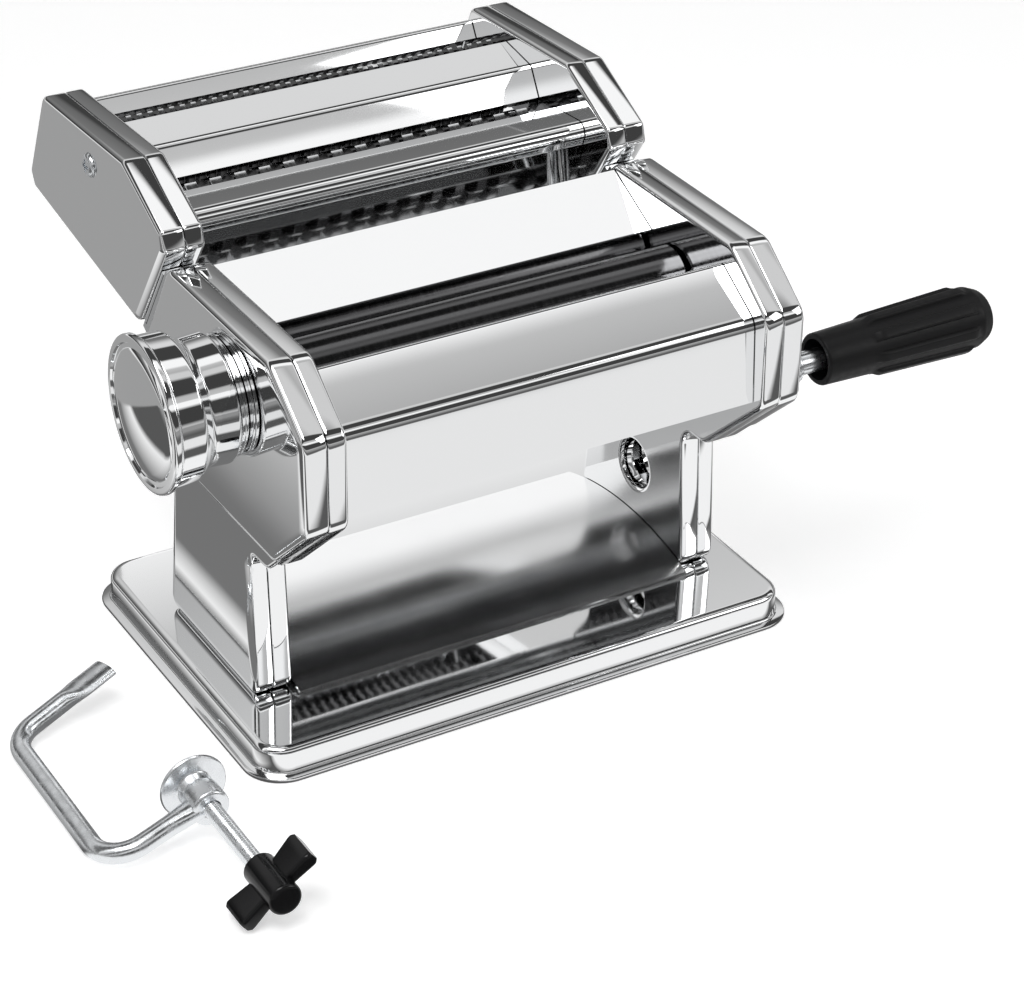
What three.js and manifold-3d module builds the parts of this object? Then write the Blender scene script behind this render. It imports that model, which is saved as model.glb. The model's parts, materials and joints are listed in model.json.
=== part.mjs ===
// A hand cranked pasta machine with its cutter head on, and its table clamp lying in front of it.
// Millimetres, +Z up, X along the rollers, the crank at +X and the front at -Y.
import * as THREE from "three";
import { mergeVertices } from "three/addons/utils/BufferGeometryUtils.js";
import Module from "manifold-3d";

// Sheet metal, clearances and cuts
const SHEET = 1.2;
const GAP = 0.3;
const OVERRUN = 2;
const LEAST_RADIUS = 0.25;

// Faces of the two sides, counted out from the webs of the inner plates
const SIDE = { web: 76.1, innerDepth: 6.9, coverDepth: 7, bodyStep: 1.6 };
const INNER_EDGE = { wide: 1.6, deep: 1.6 };
const COVER_EDGE = { wide: 3.5, deep: 2 };

// The body's side outline: y to the back, z up from the table
const BODY = {
  top: 146.7,
  topRear: 17,
  front: -79.5,
  frontSlope: 23,
  frontDrop: 17.5,
  frontHeight: 32.2,
  chinReach: 33,
  chinDrop: 30,
  coverRise: 8,
  rearSlope: 27,
  rearDrop: 43.7,
  rearIn: 8,
  rearHeight: 24,
  corner: 7,
  softCorner: 10,
};
const LEG = {
  frontTopIn: 13.1,
  frontTopDrop: 0.4,
  frontFootOut: 2.6,
  rearTopIn: 11.5,
  rearTopDrop: 15,
  rearFootOut: 7.5,
  crotch: 6,
  rearCrotch: 12,
  footCorner: 5,
  holeY: -3.5,
  holeRise: 26.5,
  hole: 9,
  holeFlange: 5,
};
const BASE = {
  sideMargin: 13.9,
  halfDepth: 69.8,
  corner: 12,
  height: 10.8,
  lip: 3,
  lipThickness: 1.5,
  draft: 0.6,
  shoulder: 2.4,
};
const TRAY = { front: -39.5, rear: 39.5, rise: 6.2 };
const LEG_SCREW = { radius: 2, head: 3.6, headHeight: 2.2, shank: 9, inset: 14 };

// The smooth rollers, their gears and the drive
const ROLLER = {
  radius: 12,
  endGap: 1.1,
  rearY: 2.8,
  drop: 26,
  openGap: 2.8,
  closedGap: 0.3,
  journal: 4,
};
const GEAR = { teeth: 10, below: 2.8, above: 2.6 };
const PINION = { teeth: 12, root: 12.2, rootClearance: 1.2, tipClearance: 2.2 };
const TOOTH_SHARES = { root: 0.46, tip: 0.2 };
const DRIVE = { lean: 27.663, shaft: 6, proud: 0.8, socket: 3.6, socketDepth: 14 };
const BUSH = { wall: 2, collar: 2.4 };
const CARRIAGE = { thickness: 2.8, halfDepth: 12, halfHeight: 9, lugThickness: 4, lugHalfHeight: 5 };
const CAM = { radius: 7, width: 3, shaft: 5.7, steps: 24, turn: 240 };
const SCRAPER = { thickness: 2.2, length: 13, lean: 32, clearance: 0.4 };
const TIE_ROD = { radius: 3, stub: 2, stubLength: 4, inset: 15, headRise: 6 };

// The casing sheets between the sides
const CASING = {
  topRecess: 1.8,
  hopperReach: 12.1,
  hopperDrop: 14,
  lipIn: 4.2,
  lipDrop: 8,
  mouthRise: 9.3,
  bendIn: 7,
  bendDrop: 20.6,
  footIn: 5.5,
  footDrop: 0,
  bend: 3,
  rearRecess: 1.6,
};

// The thickness knob
const KNOB = {
  ringGap: 3.4,
  collar: 20,
  inner: 21.5,
  innerLength: 11,
  step: 2.4,
  outer: 24.6,
  outerLength: 8.4,
  rim: 26,
  rimWidth: 2.7,
  dome: 3.6,
  domeRing: 21,
  domeSteps: 4,
  wall: 3,
};

// The crank and its grip
const CRANK = {
  armGap: 6.6,
  armThickness: 4,
  armHalfWidth: 6.5,
  reach: 73,
  tilt: 0.4,
  pin: 4,
  pinStep: 1,
};
const GRIP = {
  standOff: 10,
  span: 70,
  mouth: 9.15,
  mouthWall: 1.9,
  mouthDepth: 7,
  throat: 9.9,
  throatIn: 17,
  rib: 12.4,
  ribIn: 22,
  ribEndIn: 6,
  cap: 10.5,
  pinIn: 6,
};

// The cutter head's side outline, counted from its nose and from the pair of fine cutters
const HEAD = {
  noseOut: 1.5,
  noseRise: 4.3,
  noseTipOut: 2,
  noseTipRise: 6.5,
  topFrontOut: 30,
  topFrontRise: 20.5,
  topRearBack: 15.5,
  topRearRise: 18,
  rearBack: 31.95,
  rearDrop: 16,
  bottomRearBack: 29,
  bottomRearDrop: 22,
  bottomFrontOut: 24.5,
  bottomFrontDrop: 36,
  corner: 5,
  smallCorner: 2.6,
  slideTilt: 33.5,
};
const CUTTER = {
  radius: 9.7,
  overlap: 0.4,
  wideOut: 42.5,
  wideDrop: 14,
  pairGap: 1.6,
  fineDrop: 5.5,
  grooveDepth: 3.3,
  journal: 3,
  finePitch: 4,
  widePitch: 9.08,
  sides: 8,
  gearBelow: 2.3,
  gearAbove: 0.9,
  gearTeeth: 10,
  socket: 5,
};
const BLADE_SHARE = 0.43;
const HEAD_SHEET = {
  rearLipIn: 4.5,
  rearLipDrop: 10.5,
  rearTopIn: 2.8,
  rearRecess: 1.6,
  ridgeRearIn: 11.1,
  ridgeRearRise: 14.1,
  ridgeOut: 11.5,
  ridgeRise: 11.2,
  ridgeFootOut: 5.8,
  ridgeFootRise: 1.2,
  lowerRearIn: 5.9,
  lowerRise: 1.8,
  lipOut: 14.5,
  lipRise: 3.4,
  lowerFootDrop: 10,
  lowerFootIn: 2.2,
  skirtOut: 3.5,
  skirtDrop: 16.8,
  bend: 4,
};
const HEAD_SCREW = { out: 57.2, rise: 8.3, radius: 2.6, head: 4.2, headHeight: 1.6, shank: 9 };
const RAIL = { rise: 2.2, from: 5, to: 38, foot: 3, footReach: 4.6, inset: 1.9, margin: 0.4 };

// The table clamp, lying on the table
const CLAMP = {
  rod: 3.4,
  apart: 58.9,
  reach: 37,
  upper: -8,
  depth: 77,
  tipPast: 2.5,
  tipRise: 12.2,
  bossRise: 6,
  bend: 11,
  bendSteps: 4,
  tipWidth: 5,
  tipThickness: 2,
  tipLength: 9,
  boss: 6.4,
  bossHalf: 4.6,
  screw: 3,
  screwSpan: 38,
  pad: 11.5,
  padThickness: 1.8,
  padClearance: 0.8,
  padHub: 5,
  padHubLength: 3.2,
  knobSpan: 19,
  hub: 5.5,
  wingSpan: 15,
  wingHalfThickness: 2.8,
  wingFrontIn: 2,
  wingBackIn: 4,
  wingAngle: 38,
};

// How finely round things are cut
const ARC_STEP = THREE.MathUtils.degToRad(30);
const EDGE_STEPS = 2;
const ROUND = 16;
const FINE_ROUND = 24;
const SMALL_ROUND = 10;

const wasm = await Module();
wasm.setup();

const { degToRad } = THREE.MathUtils;
const at = (y, z) => new THREE.Vector2(y, z);

// A closed geometry as a solid, with its shared points merged and its faces pointing out
function solid(geometry) {
  const plain = geometry.clone();
  plain.deleteAttribute("normal");
  plain.deleteAttribute("uv");
  const merged = mergeVertices(plain);
  const points = merged.attributes.position.array;
  const faces = [];
  const index = merged.index.array;
  for (let i = 0; i < index.length; i += 3) {
    const [a, b, c] = [index[i], index[i + 1], index[i + 2]];
    if (a !== b && b !== c && c !== a) faces.push(a, b, c);
  }
  const corner = (k) => new THREE.Vector3().fromArray(points, k * 3);
  let volume = 0;
  for (let i = 0; i < faces.length; i += 3) {
    volume += corner(faces[i]).dot(corner(faces[i + 1]).cross(corner(faces[i + 2])));
  }
  if (volume < 0) faces.reverse();
  return new wasm.Manifold(
    new wasm.Mesh({ numProp: 3, vertProperties: points, triVerts: Uint32Array.from(faces) }),
  );
}

function geometryOf(body) {
  const mesh = body.getMesh();
  const geometry = new THREE.BufferGeometry();
  geometry.setAttribute("position", new THREE.BufferAttribute(mesh.vertProperties, 3));
  geometry.setIndex(new THREE.BufferAttribute(mesh.triVerts, 1));
  geometry.computeVertexNormals();
  return geometry;
}

const join = (...bodies) => bodies.reduce((all, body) => all.add(body));
const cut = (body, ...tools) => tools.reduce((rest, tool) => rest.subtract(tool), body);

// An outline with rounded corners, drawn inwards by an inset; corners are { at, radius }
function outline(corners, inset = 0) {
  const count = corners.length;
  const lines = corners.map((corner, i) => {
    const along = corners[(i + 1) % count].at.clone().sub(corner.at).normalize();
    const inward = at(-along.y, along.x);
    return { from: corner.at.clone().addScaledVector(inward, inset), along, inward };
  });
  return corners.flatMap((corner, i) => {
    const before = lines[(i + count - 1) % count];
    const after = lines[i];
    const turn = Math.atan2(before.along.cross(after.along), before.along.dot(after.along));
    const reach = after.from.clone().sub(before.from).cross(after.along) / before.along.cross(after.along);
    const point = before.from.clone().addScaledVector(before.along, reach);
    const side = Math.sign(turn);
    const radius = Math.max(corner.radius - side * inset, LEAST_RADIUS);
    const start = point.clone().addScaledVector(before.along, -radius * Math.tan(Math.abs(turn) / 2));
    const centre = start.clone().addScaledVector(before.inward, side * radius);
    const steps = Math.max(1, Math.round(Math.abs(turn) / ARC_STEP));
    return Array.from({ length: steps + 1 }, (_, k) =>
      start.clone().rotateAround(centre, (turn * k) / steps),
    );
  });
}

// A closed shape through rings of equal count, with both ends capped
// A ring that isn't convex needs flatCap, which lays it flat
function loftGeometry(rings, flatCap) {
  const count = rings[0].length;
  const faces = [];
  for (let r = 0; r + 1 < rings.length; r += 1) {
    for (let k = 0; k < count; k += 1) {
      const next = (k + 1) % count;
      const [a, b, c, d] = [r * count + k, r * count + next, (r + 1) * count + next, (r + 1) * count + k];
      faces.push(a, b, c, a, c, d);
    }
  }
  const last = (rings.length - 1) * count;
  const caps = flatCap
    ? (ring) => THREE.ShapeUtils.triangulateShape(ring.map(flatCap), [])
    : (ring) => ring.slice(2).map((_, k) => [0, k + 1, k + 2]);
  for (const [a, b, c] of caps(rings[0])) faces.push(c, b, a);
  for (const [a, b, c] of caps(rings[rings.length - 1])) faces.push(last + a, last + b, last + c);
  const geometry = new THREE.BufferGeometry();
  const points = rings.flat().flatMap((point) => point.toArray());
  geometry.setAttribute("position", new THREE.Float32BufferAttribute(points, 3));
  geometry.setIndex(faces);
  return geometry;
}
const loft = (rings, flatCap) => solid(loftGeometry(rings, flatCap));

const sideRing = (points, x) => points.map((point) => new THREE.Vector3(x, point.x, point.y));
const sideFlat = (point) => at(point.y, point.z);

// A side outline, solid from one x to another
function slab(points, from, to, holes = []) {
  const shape = new THREE.Shape(points);
  shape.holes = holes.map((hole) => new THREE.Path(hole));
  const geometry = new THREE.ExtrudeGeometry(shape, { depth: to - from, bevelEnabled: false });
  const axes = new THREE.Matrix4().makeBasis(
    new THREE.Vector3(0, 1, 0),
    new THREE.Vector3(0, 0, 1),
    new THREE.Vector3(1, 0, 0),
  );
  return solid(geometry.applyMatrix4(axes).translate(from, 0, 0));
}

// A turned solid about an axis along X; the profile is [x, radius] pairs
function turned(profile, y, z, sides = ROUND) {
  const points = profile.map(([x, radius]) => at(radius, x));
  const axes = new THREE.Matrix4().makeBasis(
    new THREE.Vector3(0, 0, 1),
    new THREE.Vector3(1, 0, 0),
    new THREE.Vector3(0, 1, 0),
  );
  return solid(new THREE.LatheGeometry(points, sides).applyMatrix4(axes).translate(0, y, z));
}

const rod = (from, to, radius, y, z, sides = ROUND) =>
  turned([[from, 0], [from, radius], [to, radius], [to, 0]], y, z, sides);
const tube = (from, to, bore, radius, y, z, sides = ROUND) =>
  turned([[from, bore], [from, radius], [to, radius], [to, bore], [from, bore]], y, z, sides);

// The points of a bend of some radius at a corner, on the way from one point to another
function bendAt(corner, from, to, radius, count) {
  const back = from.clone().sub(corner).normalize();
  const on = to.clone().sub(corner).normalize();
  const turn = Math.PI - back.angleTo(on);
  const steps = count ?? Math.max(1, Math.round(turn / ARC_STEP));
  const start = corner.clone().addScaledVector(back, radius * Math.tan(turn / 2));
  const side = Math.sign(back.cross(on));
  const centre = start.clone().add(at(-side * back.y, side * back.x).multiplyScalar(radius));
  return Array.from({ length: steps + 1 }, (_, k) =>
    start.clone().rotateAround(centre, (-side * turn * k) / steps),
  );
}

// A sheet that follows a line in the side view, bent with a radius at each inner point
function sheetAlong(points, thickness, bend, from, to) {
  const line = [points[0]];
  for (let i = 1; i + 1 < points.length; i += 1) {
    line.push(...bendAt(points[i], points[i - 1], points[i + 1], bend));
  }
  line.push(points[points.length - 1]);
  const beside = (distance) =>
    line.map((point, i) => {
      const before = line[Math.max(i - 1, 0)];
      const after = line[Math.min(i + 1, line.length - 1)];
      const along = after.clone().sub(before).normalize();
      return point.clone().add(at(-along.y, along.x).multiplyScalar(distance));
    });
  return slab([...line, ...beside(thickness).reverse()], from, to);
}

// A shallow pressed pan: a flat face with a rounded edge, and a flange back to the seam
function pan(corners, face, seam, edge) {
  const way = Math.sign(seam - face);
  const shell = (depth, end) => {
    const rings = [[depth, end]];
    for (let k = 0; k <= EDGE_STEPS; k += 1) {
      const angle = ((Math.PI / 2) * k) / EDGE_STEPS;
      const x = face + way * (depth + (edge.deep - depth) * (1 - Math.sin(angle)));
      rings.push([depth + (edge.wide - depth) * (1 - Math.cos(angle)), x]);
    }
    return loft(rings.map(([inset, x]) => sideRing(outline(corners, inset), x)), sideFlat);
  };
  return { outer: shell(0, seam), inner: shell(SHEET, seam + way * OVERRUN) };
}

const mirrored = (body) => body.mirror([1, 0, 0]);

// Faces across the machine
const seam = SIDE.web + SIDE.innerDepth;
const legFace = seam + SIDE.coverDepth;
const bodyFace = legFace + SIDE.bodyStep;
const innerSeam = seam - GAP / 2;
const outerSeam = seam + GAP / 2;
const webBack = SIDE.web + SHEET;
const sheetEnd = SIDE.web - GAP;
const leftEnd = seam - GAP;
const journalEnd = legFace - SHEET - GAP;
const baseHalf = bodyFace + BASE.sideMargin;

// Corners of the body's outline
const legFoot = BASE.height + GAP;
const topRear = at(BODY.topRear, BODY.top);
const topFront = at(BODY.front + BODY.frontSlope, BODY.top);
const frontHigh = at(BODY.front, BODY.top - BODY.frontDrop);
const frontLow = at(BODY.front, frontHigh.y - BODY.frontHeight);
const chin = at(BODY.front + BODY.chinReach, frontLow.y - BODY.chinDrop);
const rearHigh = at(BODY.topRear + BODY.rearSlope, BODY.top - BODY.rearDrop);
const rearLow = at(rearHigh.x - BODY.rearIn, rearHigh.y - BODY.rearHeight);
const legFrontTop = at(chin.x + LEG.frontTopIn, chin.y - LEG.frontTopDrop);
const legFrontFoot = at(legFrontTop.x - LEG.frontFootOut, legFoot);
const legRearTop = at(rearLow.x - LEG.rearTopIn, rearLow.y - LEG.rearTopDrop);
const legRearFoot = at(legRearTop.x + LEG.rearFootOut, legFoot);
const legHoleHeight = legFoot + LEG.holeRise;
const bodyCorners = [
  { at: topRear, radius: BODY.corner },
  { at: topFront, radius: BODY.corner },
  { at: frontHigh, radius: BODY.corner },
  { at: frontLow, radius: BODY.corner },
];
const rearCorners = [{ at: rearHigh, radius: BODY.corner }];
const bootCorners = [
  ...bodyCorners,
  { at: chin, radius: BODY.corner },
  { at: legFrontTop, radius: LEG.crotch },
  { at: legFrontFoot, radius: LEG.footCorner },
  { at: legRearFoot, radius: LEG.footCorner },
  { at: legRearTop, radius: LEG.rearCrotch },
  { at: rearLow, radius: BODY.softCorner },
  ...rearCorners,
];

// The deeper cover face ends level, a little above the chin
const coverFoot = chin.y + BODY.coverRise;
const coverCorners = [
  ...bodyCorners,
  { at: frontLow.clone().lerp(chin, 1 - BODY.coverRise / BODY.chinDrop), radius: BODY.corner },
  { at: at(rearLow.x, coverFoot), radius: BODY.corner },
  ...rearCorners,
];

// Axes of the rollers, the drive and the crank's grip
const rollerHeight = BODY.top - ROLLER.drop;
const rollerHalf = SIDE.web - ROLLER.endGap;
const frontRollerY = ROLLER.rearY - 2 * ROLLER.radius - ROLLER.openGap;
const rollerTravel = ROLLER.openGap - ROLLER.closedGap;
const gearRoot = ROLLER.radius - GEAR.below;
const gearTip = ROLLER.radius + GEAR.above;
const driveReach = gearTip + PINION.root + PINION.rootClearance;
const pinionTip = driveReach - gearRoot - PINION.tipClearance;
const driveY = ROLLER.rearY + driveReach * Math.sin(degToRad(DRIVE.lean));
const driveHeight = rollerHeight - driveReach * Math.cos(degToRad(DRIVE.lean));
const driveEnd = bodyFace + DRIVE.proud;
const armInner = driveEnd + CRANK.armGap;
const armOuter = armInner + CRANK.armThickness;
const gripStart = armOuter + GRIP.standOff;
const gripEnd = gripStart + GRIP.span;
const pinEnd = gripEnd - GRIP.pinIn;
const gripY = driveY - CRANK.reach * Math.cos(degToRad(CRANK.tilt));
const gripHeight = driveHeight - CRANK.reach * Math.sin(degToRad(CRANK.tilt));
const carriageFrom = webBack + GAP;
const carriageTo = carriageFrom + CARRIAGE.thickness;
const gearFrom = carriageTo + GAP;
const gearTo = journalEnd - GAP;

// The head's cutters and its outline
const nose = at(BODY.topRear + HEAD.noseOut, BODY.top + HEAD.noseRise);
const cutterCentres = 2 * CUTTER.radius - CUTTER.overlap;
const widePair = at(nose.x + CUTTER.wideOut, nose.y - CUTTER.wideDrop);
const pairReach = cutterCentres + 2 * CUTTER.radius + CUTTER.pairGap;
const finePair = at(widePair.x + pairReach, nose.y - CUTTER.fineDrop);
const headTopRear = at(finePair.x + HEAD.topRearBack, nose.y + HEAD.topRearRise);
const headRear = at(finePair.x + HEAD.rearBack, nose.y - HEAD.rearDrop);
const headBottomFront = at(nose.x + HEAD.bottomFrontOut, nose.y - HEAD.bottomFrontDrop);
const headScrewY = nose.x + HEAD_SCREW.out;
const headScrewHeight = nose.y + HEAD_SCREW.rise;
const headCorners = [
  { at: headTopRear, radius: HEAD.corner },
  { at: at(nose.x + HEAD.topFrontOut, nose.y + HEAD.topFrontRise), radius: HEAD.corner },
  { at: at(nose.x + HEAD.noseTipOut, nose.y + HEAD.noseTipRise), radius: HEAD.smallCorner },
  { at: nose, radius: HEAD.smallCorner },
  { at: headBottomFront, radius: HEAD.corner },
  { at: at(finePair.x + HEAD.bottomRearBack, nose.y - HEAD.bottomRearDrop), radius: HEAD.smallCorner },
  { at: headRear, radius: HEAD.smallCorner },
];

const tieRodPlaces = [
  { name: "tie_rod_rear", y: rearHigh.x - TIE_ROD.inset, z: rearHigh.y },
  { name: "tie_rod_lower", y: rearLow.x - TIE_ROD.inset, z: rearLow.y - TIE_ROD.radius },
];
const headRodPlaces = [{ name: "head_tie_rod", y: widePair.x, z: headBottomFront.y + TIE_ROD.headRise }];
const screwFront = legFrontFoot.x + LEG_SCREW.inset;
const screwRear = legRearFoot.x - LEG_SCREW.inset;

const group = new THREE.Group();
const finishes = {
  chrome: { color: 0xd9dcdf, metalness: 1, roughness: 0.12 },
  steel: { color: 0xc3c6c9, metalness: 1, roughness: 0.3 },
  zinc: { color: 0xb4b8bc, metalness: 1, roughness: 0.4 },
  plastic: { color: 0x161617, metalness: 0, roughness: 0.5 },
  gloss: { color: 0x0c0c0d, metalness: 0, roughness: 0.2 },
  nylon: { color: 0xd8d4c8, metalness: 0, roughness: 0.6 },
};

function add(name, body, finish) {
  const mesh = new THREE.Mesh(geometryOf(body), new THREE.MeshStandardMaterial(finishes[finish]));
  mesh.name = name;
  group.add(mesh);
}

// The pressed base, open underneath, with a flat lip all round to stand on
function basePlate() {
  const corners = (halfLength, halfDepth) => [
    { at: at(halfLength, halfDepth), radius: BASE.corner },
    { at: at(-halfLength, halfDepth), radius: BASE.corner },
    { at: at(-halfLength, -halfDepth), radius: BASE.corner },
    { at: at(halfLength, -halfDepth), radius: BASE.corner },
  ];
  const round = corners(baseHalf, BASE.halfDepth);
  const ring = (inset, z) => outline(round, inset).map((point) => new THREE.Vector3(point.x, point.y, z));
  const flat = (point) => at(point.x, point.y);
  const shoulderAt = BASE.height - BASE.shoulder;
  const half = BASE.shoulder / 2;
  const outside = [
    [0, 0],
    [0, BASE.lipThickness],
    [BASE.lip, BASE.lipThickness],
    [BASE.lip + BASE.draft, shoulderAt],
    [BASE.lip + BASE.draft + half / 2, BASE.height - half / 2],
    [BASE.lip + BASE.draft + BASE.shoulder, BASE.height],
  ];
  const inside = [
    [BASE.lip + SHEET, -OVERRUN],
    [BASE.lip + BASE.draft + SHEET, shoulderAt - SHEET],
    [BASE.lip + BASE.draft + BASE.shoulder + SHEET / 2, BASE.height - SHEET],
  ];
  const body = loft(outside.map(([inset, z]) => ring(inset, z)), flat);
  const hollow = loft(inside.map(([inset, z]) => ring(inset, z)), flat);
  return cut(body, hollow, ...legScrewHoles());
}

// Screws come up through the base into the flanges at the feet of the inner plates
const screwX = (SIDE.web + seam) / 2;
function upright(profile, x, y, sides = SMALL_ROUND) {
  const geometry = new THREE.LatheGeometry(profile.map(([z, radius]) => at(radius, z)), sides);
  return solid(geometry.rotateX(Math.PI / 2).translate(x, y, 0));
}
function legScrewHoles() {
  const holes = [];
  for (const x of [-screwX, screwX]) {
    for (const y of [screwFront, screwRear]) {
      const radius = LEG_SCREW.radius + GAP;
      const top = BASE.height + LEG_SCREW.shank;
      holes.push(upright([[0, 0], [0, radius], [top, radius], [top, 0]], x, y));
    }
  }
  return holes;
}
function legScrew(x, y) {
  const seat = BASE.height - SHEET - GAP;
  const top = seat - LEG_SCREW.headHeight + LEG_SCREW.shank;
  const low = seat - LEG_SCREW.headHeight;
  const { radius, head } = LEG_SCREW;
  return upright([[low, 0], [low, head], [seat, head], [seat, radius], [top, radius], [top, 0]], x, y);
}

const hole = (radius, y, z, sides = ROUND) =>
  rod(SIDE.web - OVERRUN, bodyFace + OVERRUN, radius, y, z, sides);

// The slot that lets the front roller's journal move
function journalSlot() {
  const radius = ROLLER.journal + GAP;
  const from = rod(SIDE.web - OVERRUN, innerSeam + OVERRUN, radius, frontRollerY, rollerHeight);
  const closedY = frontRollerY + rollerTravel;
  const to = rod(SIDE.web - OVERRUN, innerSeam + OVERRUN, radius, closedY, rollerHeight);
  const box = slab(
    [
      at(frontRollerY, rollerHeight - radius),
      at(frontRollerY + rollerTravel, rollerHeight - radius),
      at(frontRollerY + rollerTravel, rollerHeight + radius),
      at(frontRollerY, rollerHeight + radius),
    ],
    SIDE.web - OVERRUN,
    innerSeam + OVERRUN,
  );
  return join(from, to, box);
}

function innerPlate(withDrive) {
  const { outer, inner } = pan(bootCorners, SIDE.web, innerSeam, INNER_EDGE);
  const collar = LEG.hole + SHEET;
  const flangeRing = rod(SIDE.web, SIDE.web + LEG.holeFlange, collar, LEG.holeY, legHoleHeight);
  const bush = ROLLER.journal + BUSH.wall + GAP;
  const cuts = [
    hole(LEG.hole, LEG.holeY, legHoleHeight),
    hole(bush, ROLLER.rearY, rollerHeight),
    journalSlot(),
    ...tieRodPlaces.map(({ y, z }) => hole(TIE_ROD.stub + GAP, y, z, SMALL_ROUND)),
    ...legScrewHoles(),
  ];
  if (withDrive) cuts.push(hole(DRIVE.shaft + BUSH.wall + GAP, driveY, driveHeight));
  return cut(cut(outer, inner).add(flangeRing), ...cuts);
}

function outerCover(isRight) {
  const leg = pan(bootCorners, legFace, outerSeam, COVER_EDGE);
  const deep = pan(coverCorners, bodyFace, outerSeam, COVER_EDGE);
  const shell = cut(join(leg.outer, deep.outer), leg.inner, deep.inner);
  if (isRight) {
    return cut(
      shell,
      hole(LEG.hole, LEG.holeY, legHoleHeight),
      hole(DRIVE.shaft + GAP, driveY, driveHeight),
    );
  }
  return cut(shell, hole(CAM.shaft + GAP, frontRollerY, rollerHeight));
}

// A gear with straight sided teeth, on an axis along X
function gear(teeth, root, tip, bore, from, to, y, z, phase = 0) {
  const pitch = (2 * Math.PI) / teeth;
  const points = [];
  for (let k = 0; k < teeth; k += 1) {
    const corners = [
      [root, -TOOTH_SHARES.root / 2],
      [tip, -TOOTH_SHARES.tip / 2],
      [tip, TOOTH_SHARES.tip / 2],
      [root, TOOTH_SHARES.root / 2],
    ];
    for (const [radius, share] of corners) {
      const angle = (k + share) * pitch + phase;
      points.push(at(y + radius * Math.cos(angle), z + radius * Math.sin(angle)));
    }
  }
  const ring = Array.from({ length: SMALL_ROUND }, (_, k) => {
    const angle = (2 * Math.PI * k) / SMALL_ROUND;
    return at(y + bore * Math.cos(angle), z + bore * Math.sin(angle));
  });
  return slab(points, from, to, bore > 0 ? [ring] : []);
}

function roller(y) {
  const { radius, journal } = ROLLER;
  return turned(
    [
      [-leftEnd, 0],
      [-leftEnd, journal],
      [-rollerHalf, journal],
      [-rollerHalf, radius],
      [rollerHalf, radius],
      [rollerHalf, journal],
      [journalEnd, journal],
      [journalEnd, 0],
    ],
    y,
    rollerHeight,
    FINE_ROUND,
  );
}

// A plate that carries one end of the front roller, drawn for the right side
function carriagePlate() {
  const { halfDepth, halfHeight } = CARRIAGE;
  const corners = [
    { at: at(frontRollerY + halfDepth, rollerHeight + halfHeight), radius: SHEET },
    { at: at(frontRollerY - halfDepth, rollerHeight + halfHeight), radius: SHEET },
    { at: at(frontRollerY - halfDepth, rollerHeight - halfHeight), radius: SHEET },
    { at: at(frontRollerY + halfDepth, rollerHeight - halfHeight), radius: SHEET },
  ];
  const plate = slab(outline(corners), carriageFrom, carriageTo);
  return cut(plate, hole(ROLLER.journal + GAP, frontRollerY, rollerHeight));
}

// The left plate also has the lug that the knob's cam pushes
function carriageLeft() {
  const near = frontRollerY + CAM.radius + GAP;
  const far = near + CARRIAGE.lugThickness;
  const low = rollerHeight - CARRIAGE.lugHalfHeight;
  const high = rollerHeight + CARRIAGE.lugHalfHeight;
  const corners = [at(near, low), at(far, low), at(far, high), at(near, high)];
  const lug = slab(corners, carriageFrom, bodyFace - SHEET - GAP);
  return mirrored(join(carriagePlate(), lug));
}

// A spiral cam on its shaft: its radius towards the lug grows by the roller's travel
function regulatorCam() {
  const turn = degToRad(CAM.turn);
  const points = [];
  for (let k = 0; k <= CAM.steps; k += 1) {
    const share = k / CAM.steps;
    const radius = CAM.radius + rollerTravel * share;
    const angle = turn * share;
    points.push(at(frontRollerY + radius * Math.cos(angle), rollerHeight + radius * Math.sin(angle)));
  }
  const to = bodyFace - SHEET - GAP;
  const cam = slab(points, to - CAM.width, to);
  const shaftEnd = bodyFace + KNOB.ringGap + KNOB.innerLength + KNOB.step;
  return mirrored(join(cam, rod(to - CAM.width, shaftEnd, CAM.shaft, frontRollerY, rollerHeight)));
}

function bush(shaft, y, z) {
  return tube(SIDE.web, webBack + BUSH.collar, shaft + GAP, shaft + BUSH.wall, y, z);
}

// The drive shaft with its pinion and the square ended socket for the crank
function driveShaft() {
  const shaft = turned(
    [
      [SIDE.web, 0],
      [SIDE.web, DRIVE.shaft],
      [driveEnd, DRIVE.shaft],
      [driveEnd, DRIVE.socket],
      [driveEnd - DRIVE.socketDepth, DRIVE.socket],
      [driveEnd - DRIVE.socketDepth, 0],
    ],
    driveY,
    driveHeight,
  );
  const bore = DRIVE.shaft - GAP;
  const teeth = gear(PINION.teeth, PINION.root, pinionTip, bore, gearFrom, gearTo, driveY, driveHeight);
  return join(shaft, teeth);
}

// Phase of a gear so that its gap faces a tooth of the gear that drives it
function meshPhase(teeth, driverTeeth, driverPhase, fromY, fromZ, y, z) {
  const angle = Math.atan2(z - fromZ, y - fromY);
  const pitch = (2 * Math.PI) / teeth;
  const driverPitch = (2 * Math.PI) / driverTeeth;
  const offset = (((angle - driverPhase) / driverPitch) % 1) * pitch;
  return angle + Math.PI + pitch / 2 + offset;
}

function scraper(y, side) {
  const lean = degToRad(SCRAPER.lean);
  const tipY = y + side * Math.sin(lean) * (ROLLER.radius + SCRAPER.clearance);
  const tipZ = rollerHeight - Math.cos(lean) * (ROLLER.radius + SCRAPER.clearance);
  const footY = tipY + side * Math.sin(lean) * SCRAPER.length;
  const footZ = tipZ - Math.cos(lean) * SCRAPER.length;
  const half = SCRAPER.thickness / 2;
  const acrossY = Math.cos(lean) * half;
  const acrossZ = side * Math.sin(lean) * half;
  const points = [at(tipY, tipZ), at(footY - acrossY, footZ - acrossZ), at(footY + acrossY, footZ + acrossZ)];
  return slab(points, -sheetEnd, sheetEnd);
}

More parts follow.
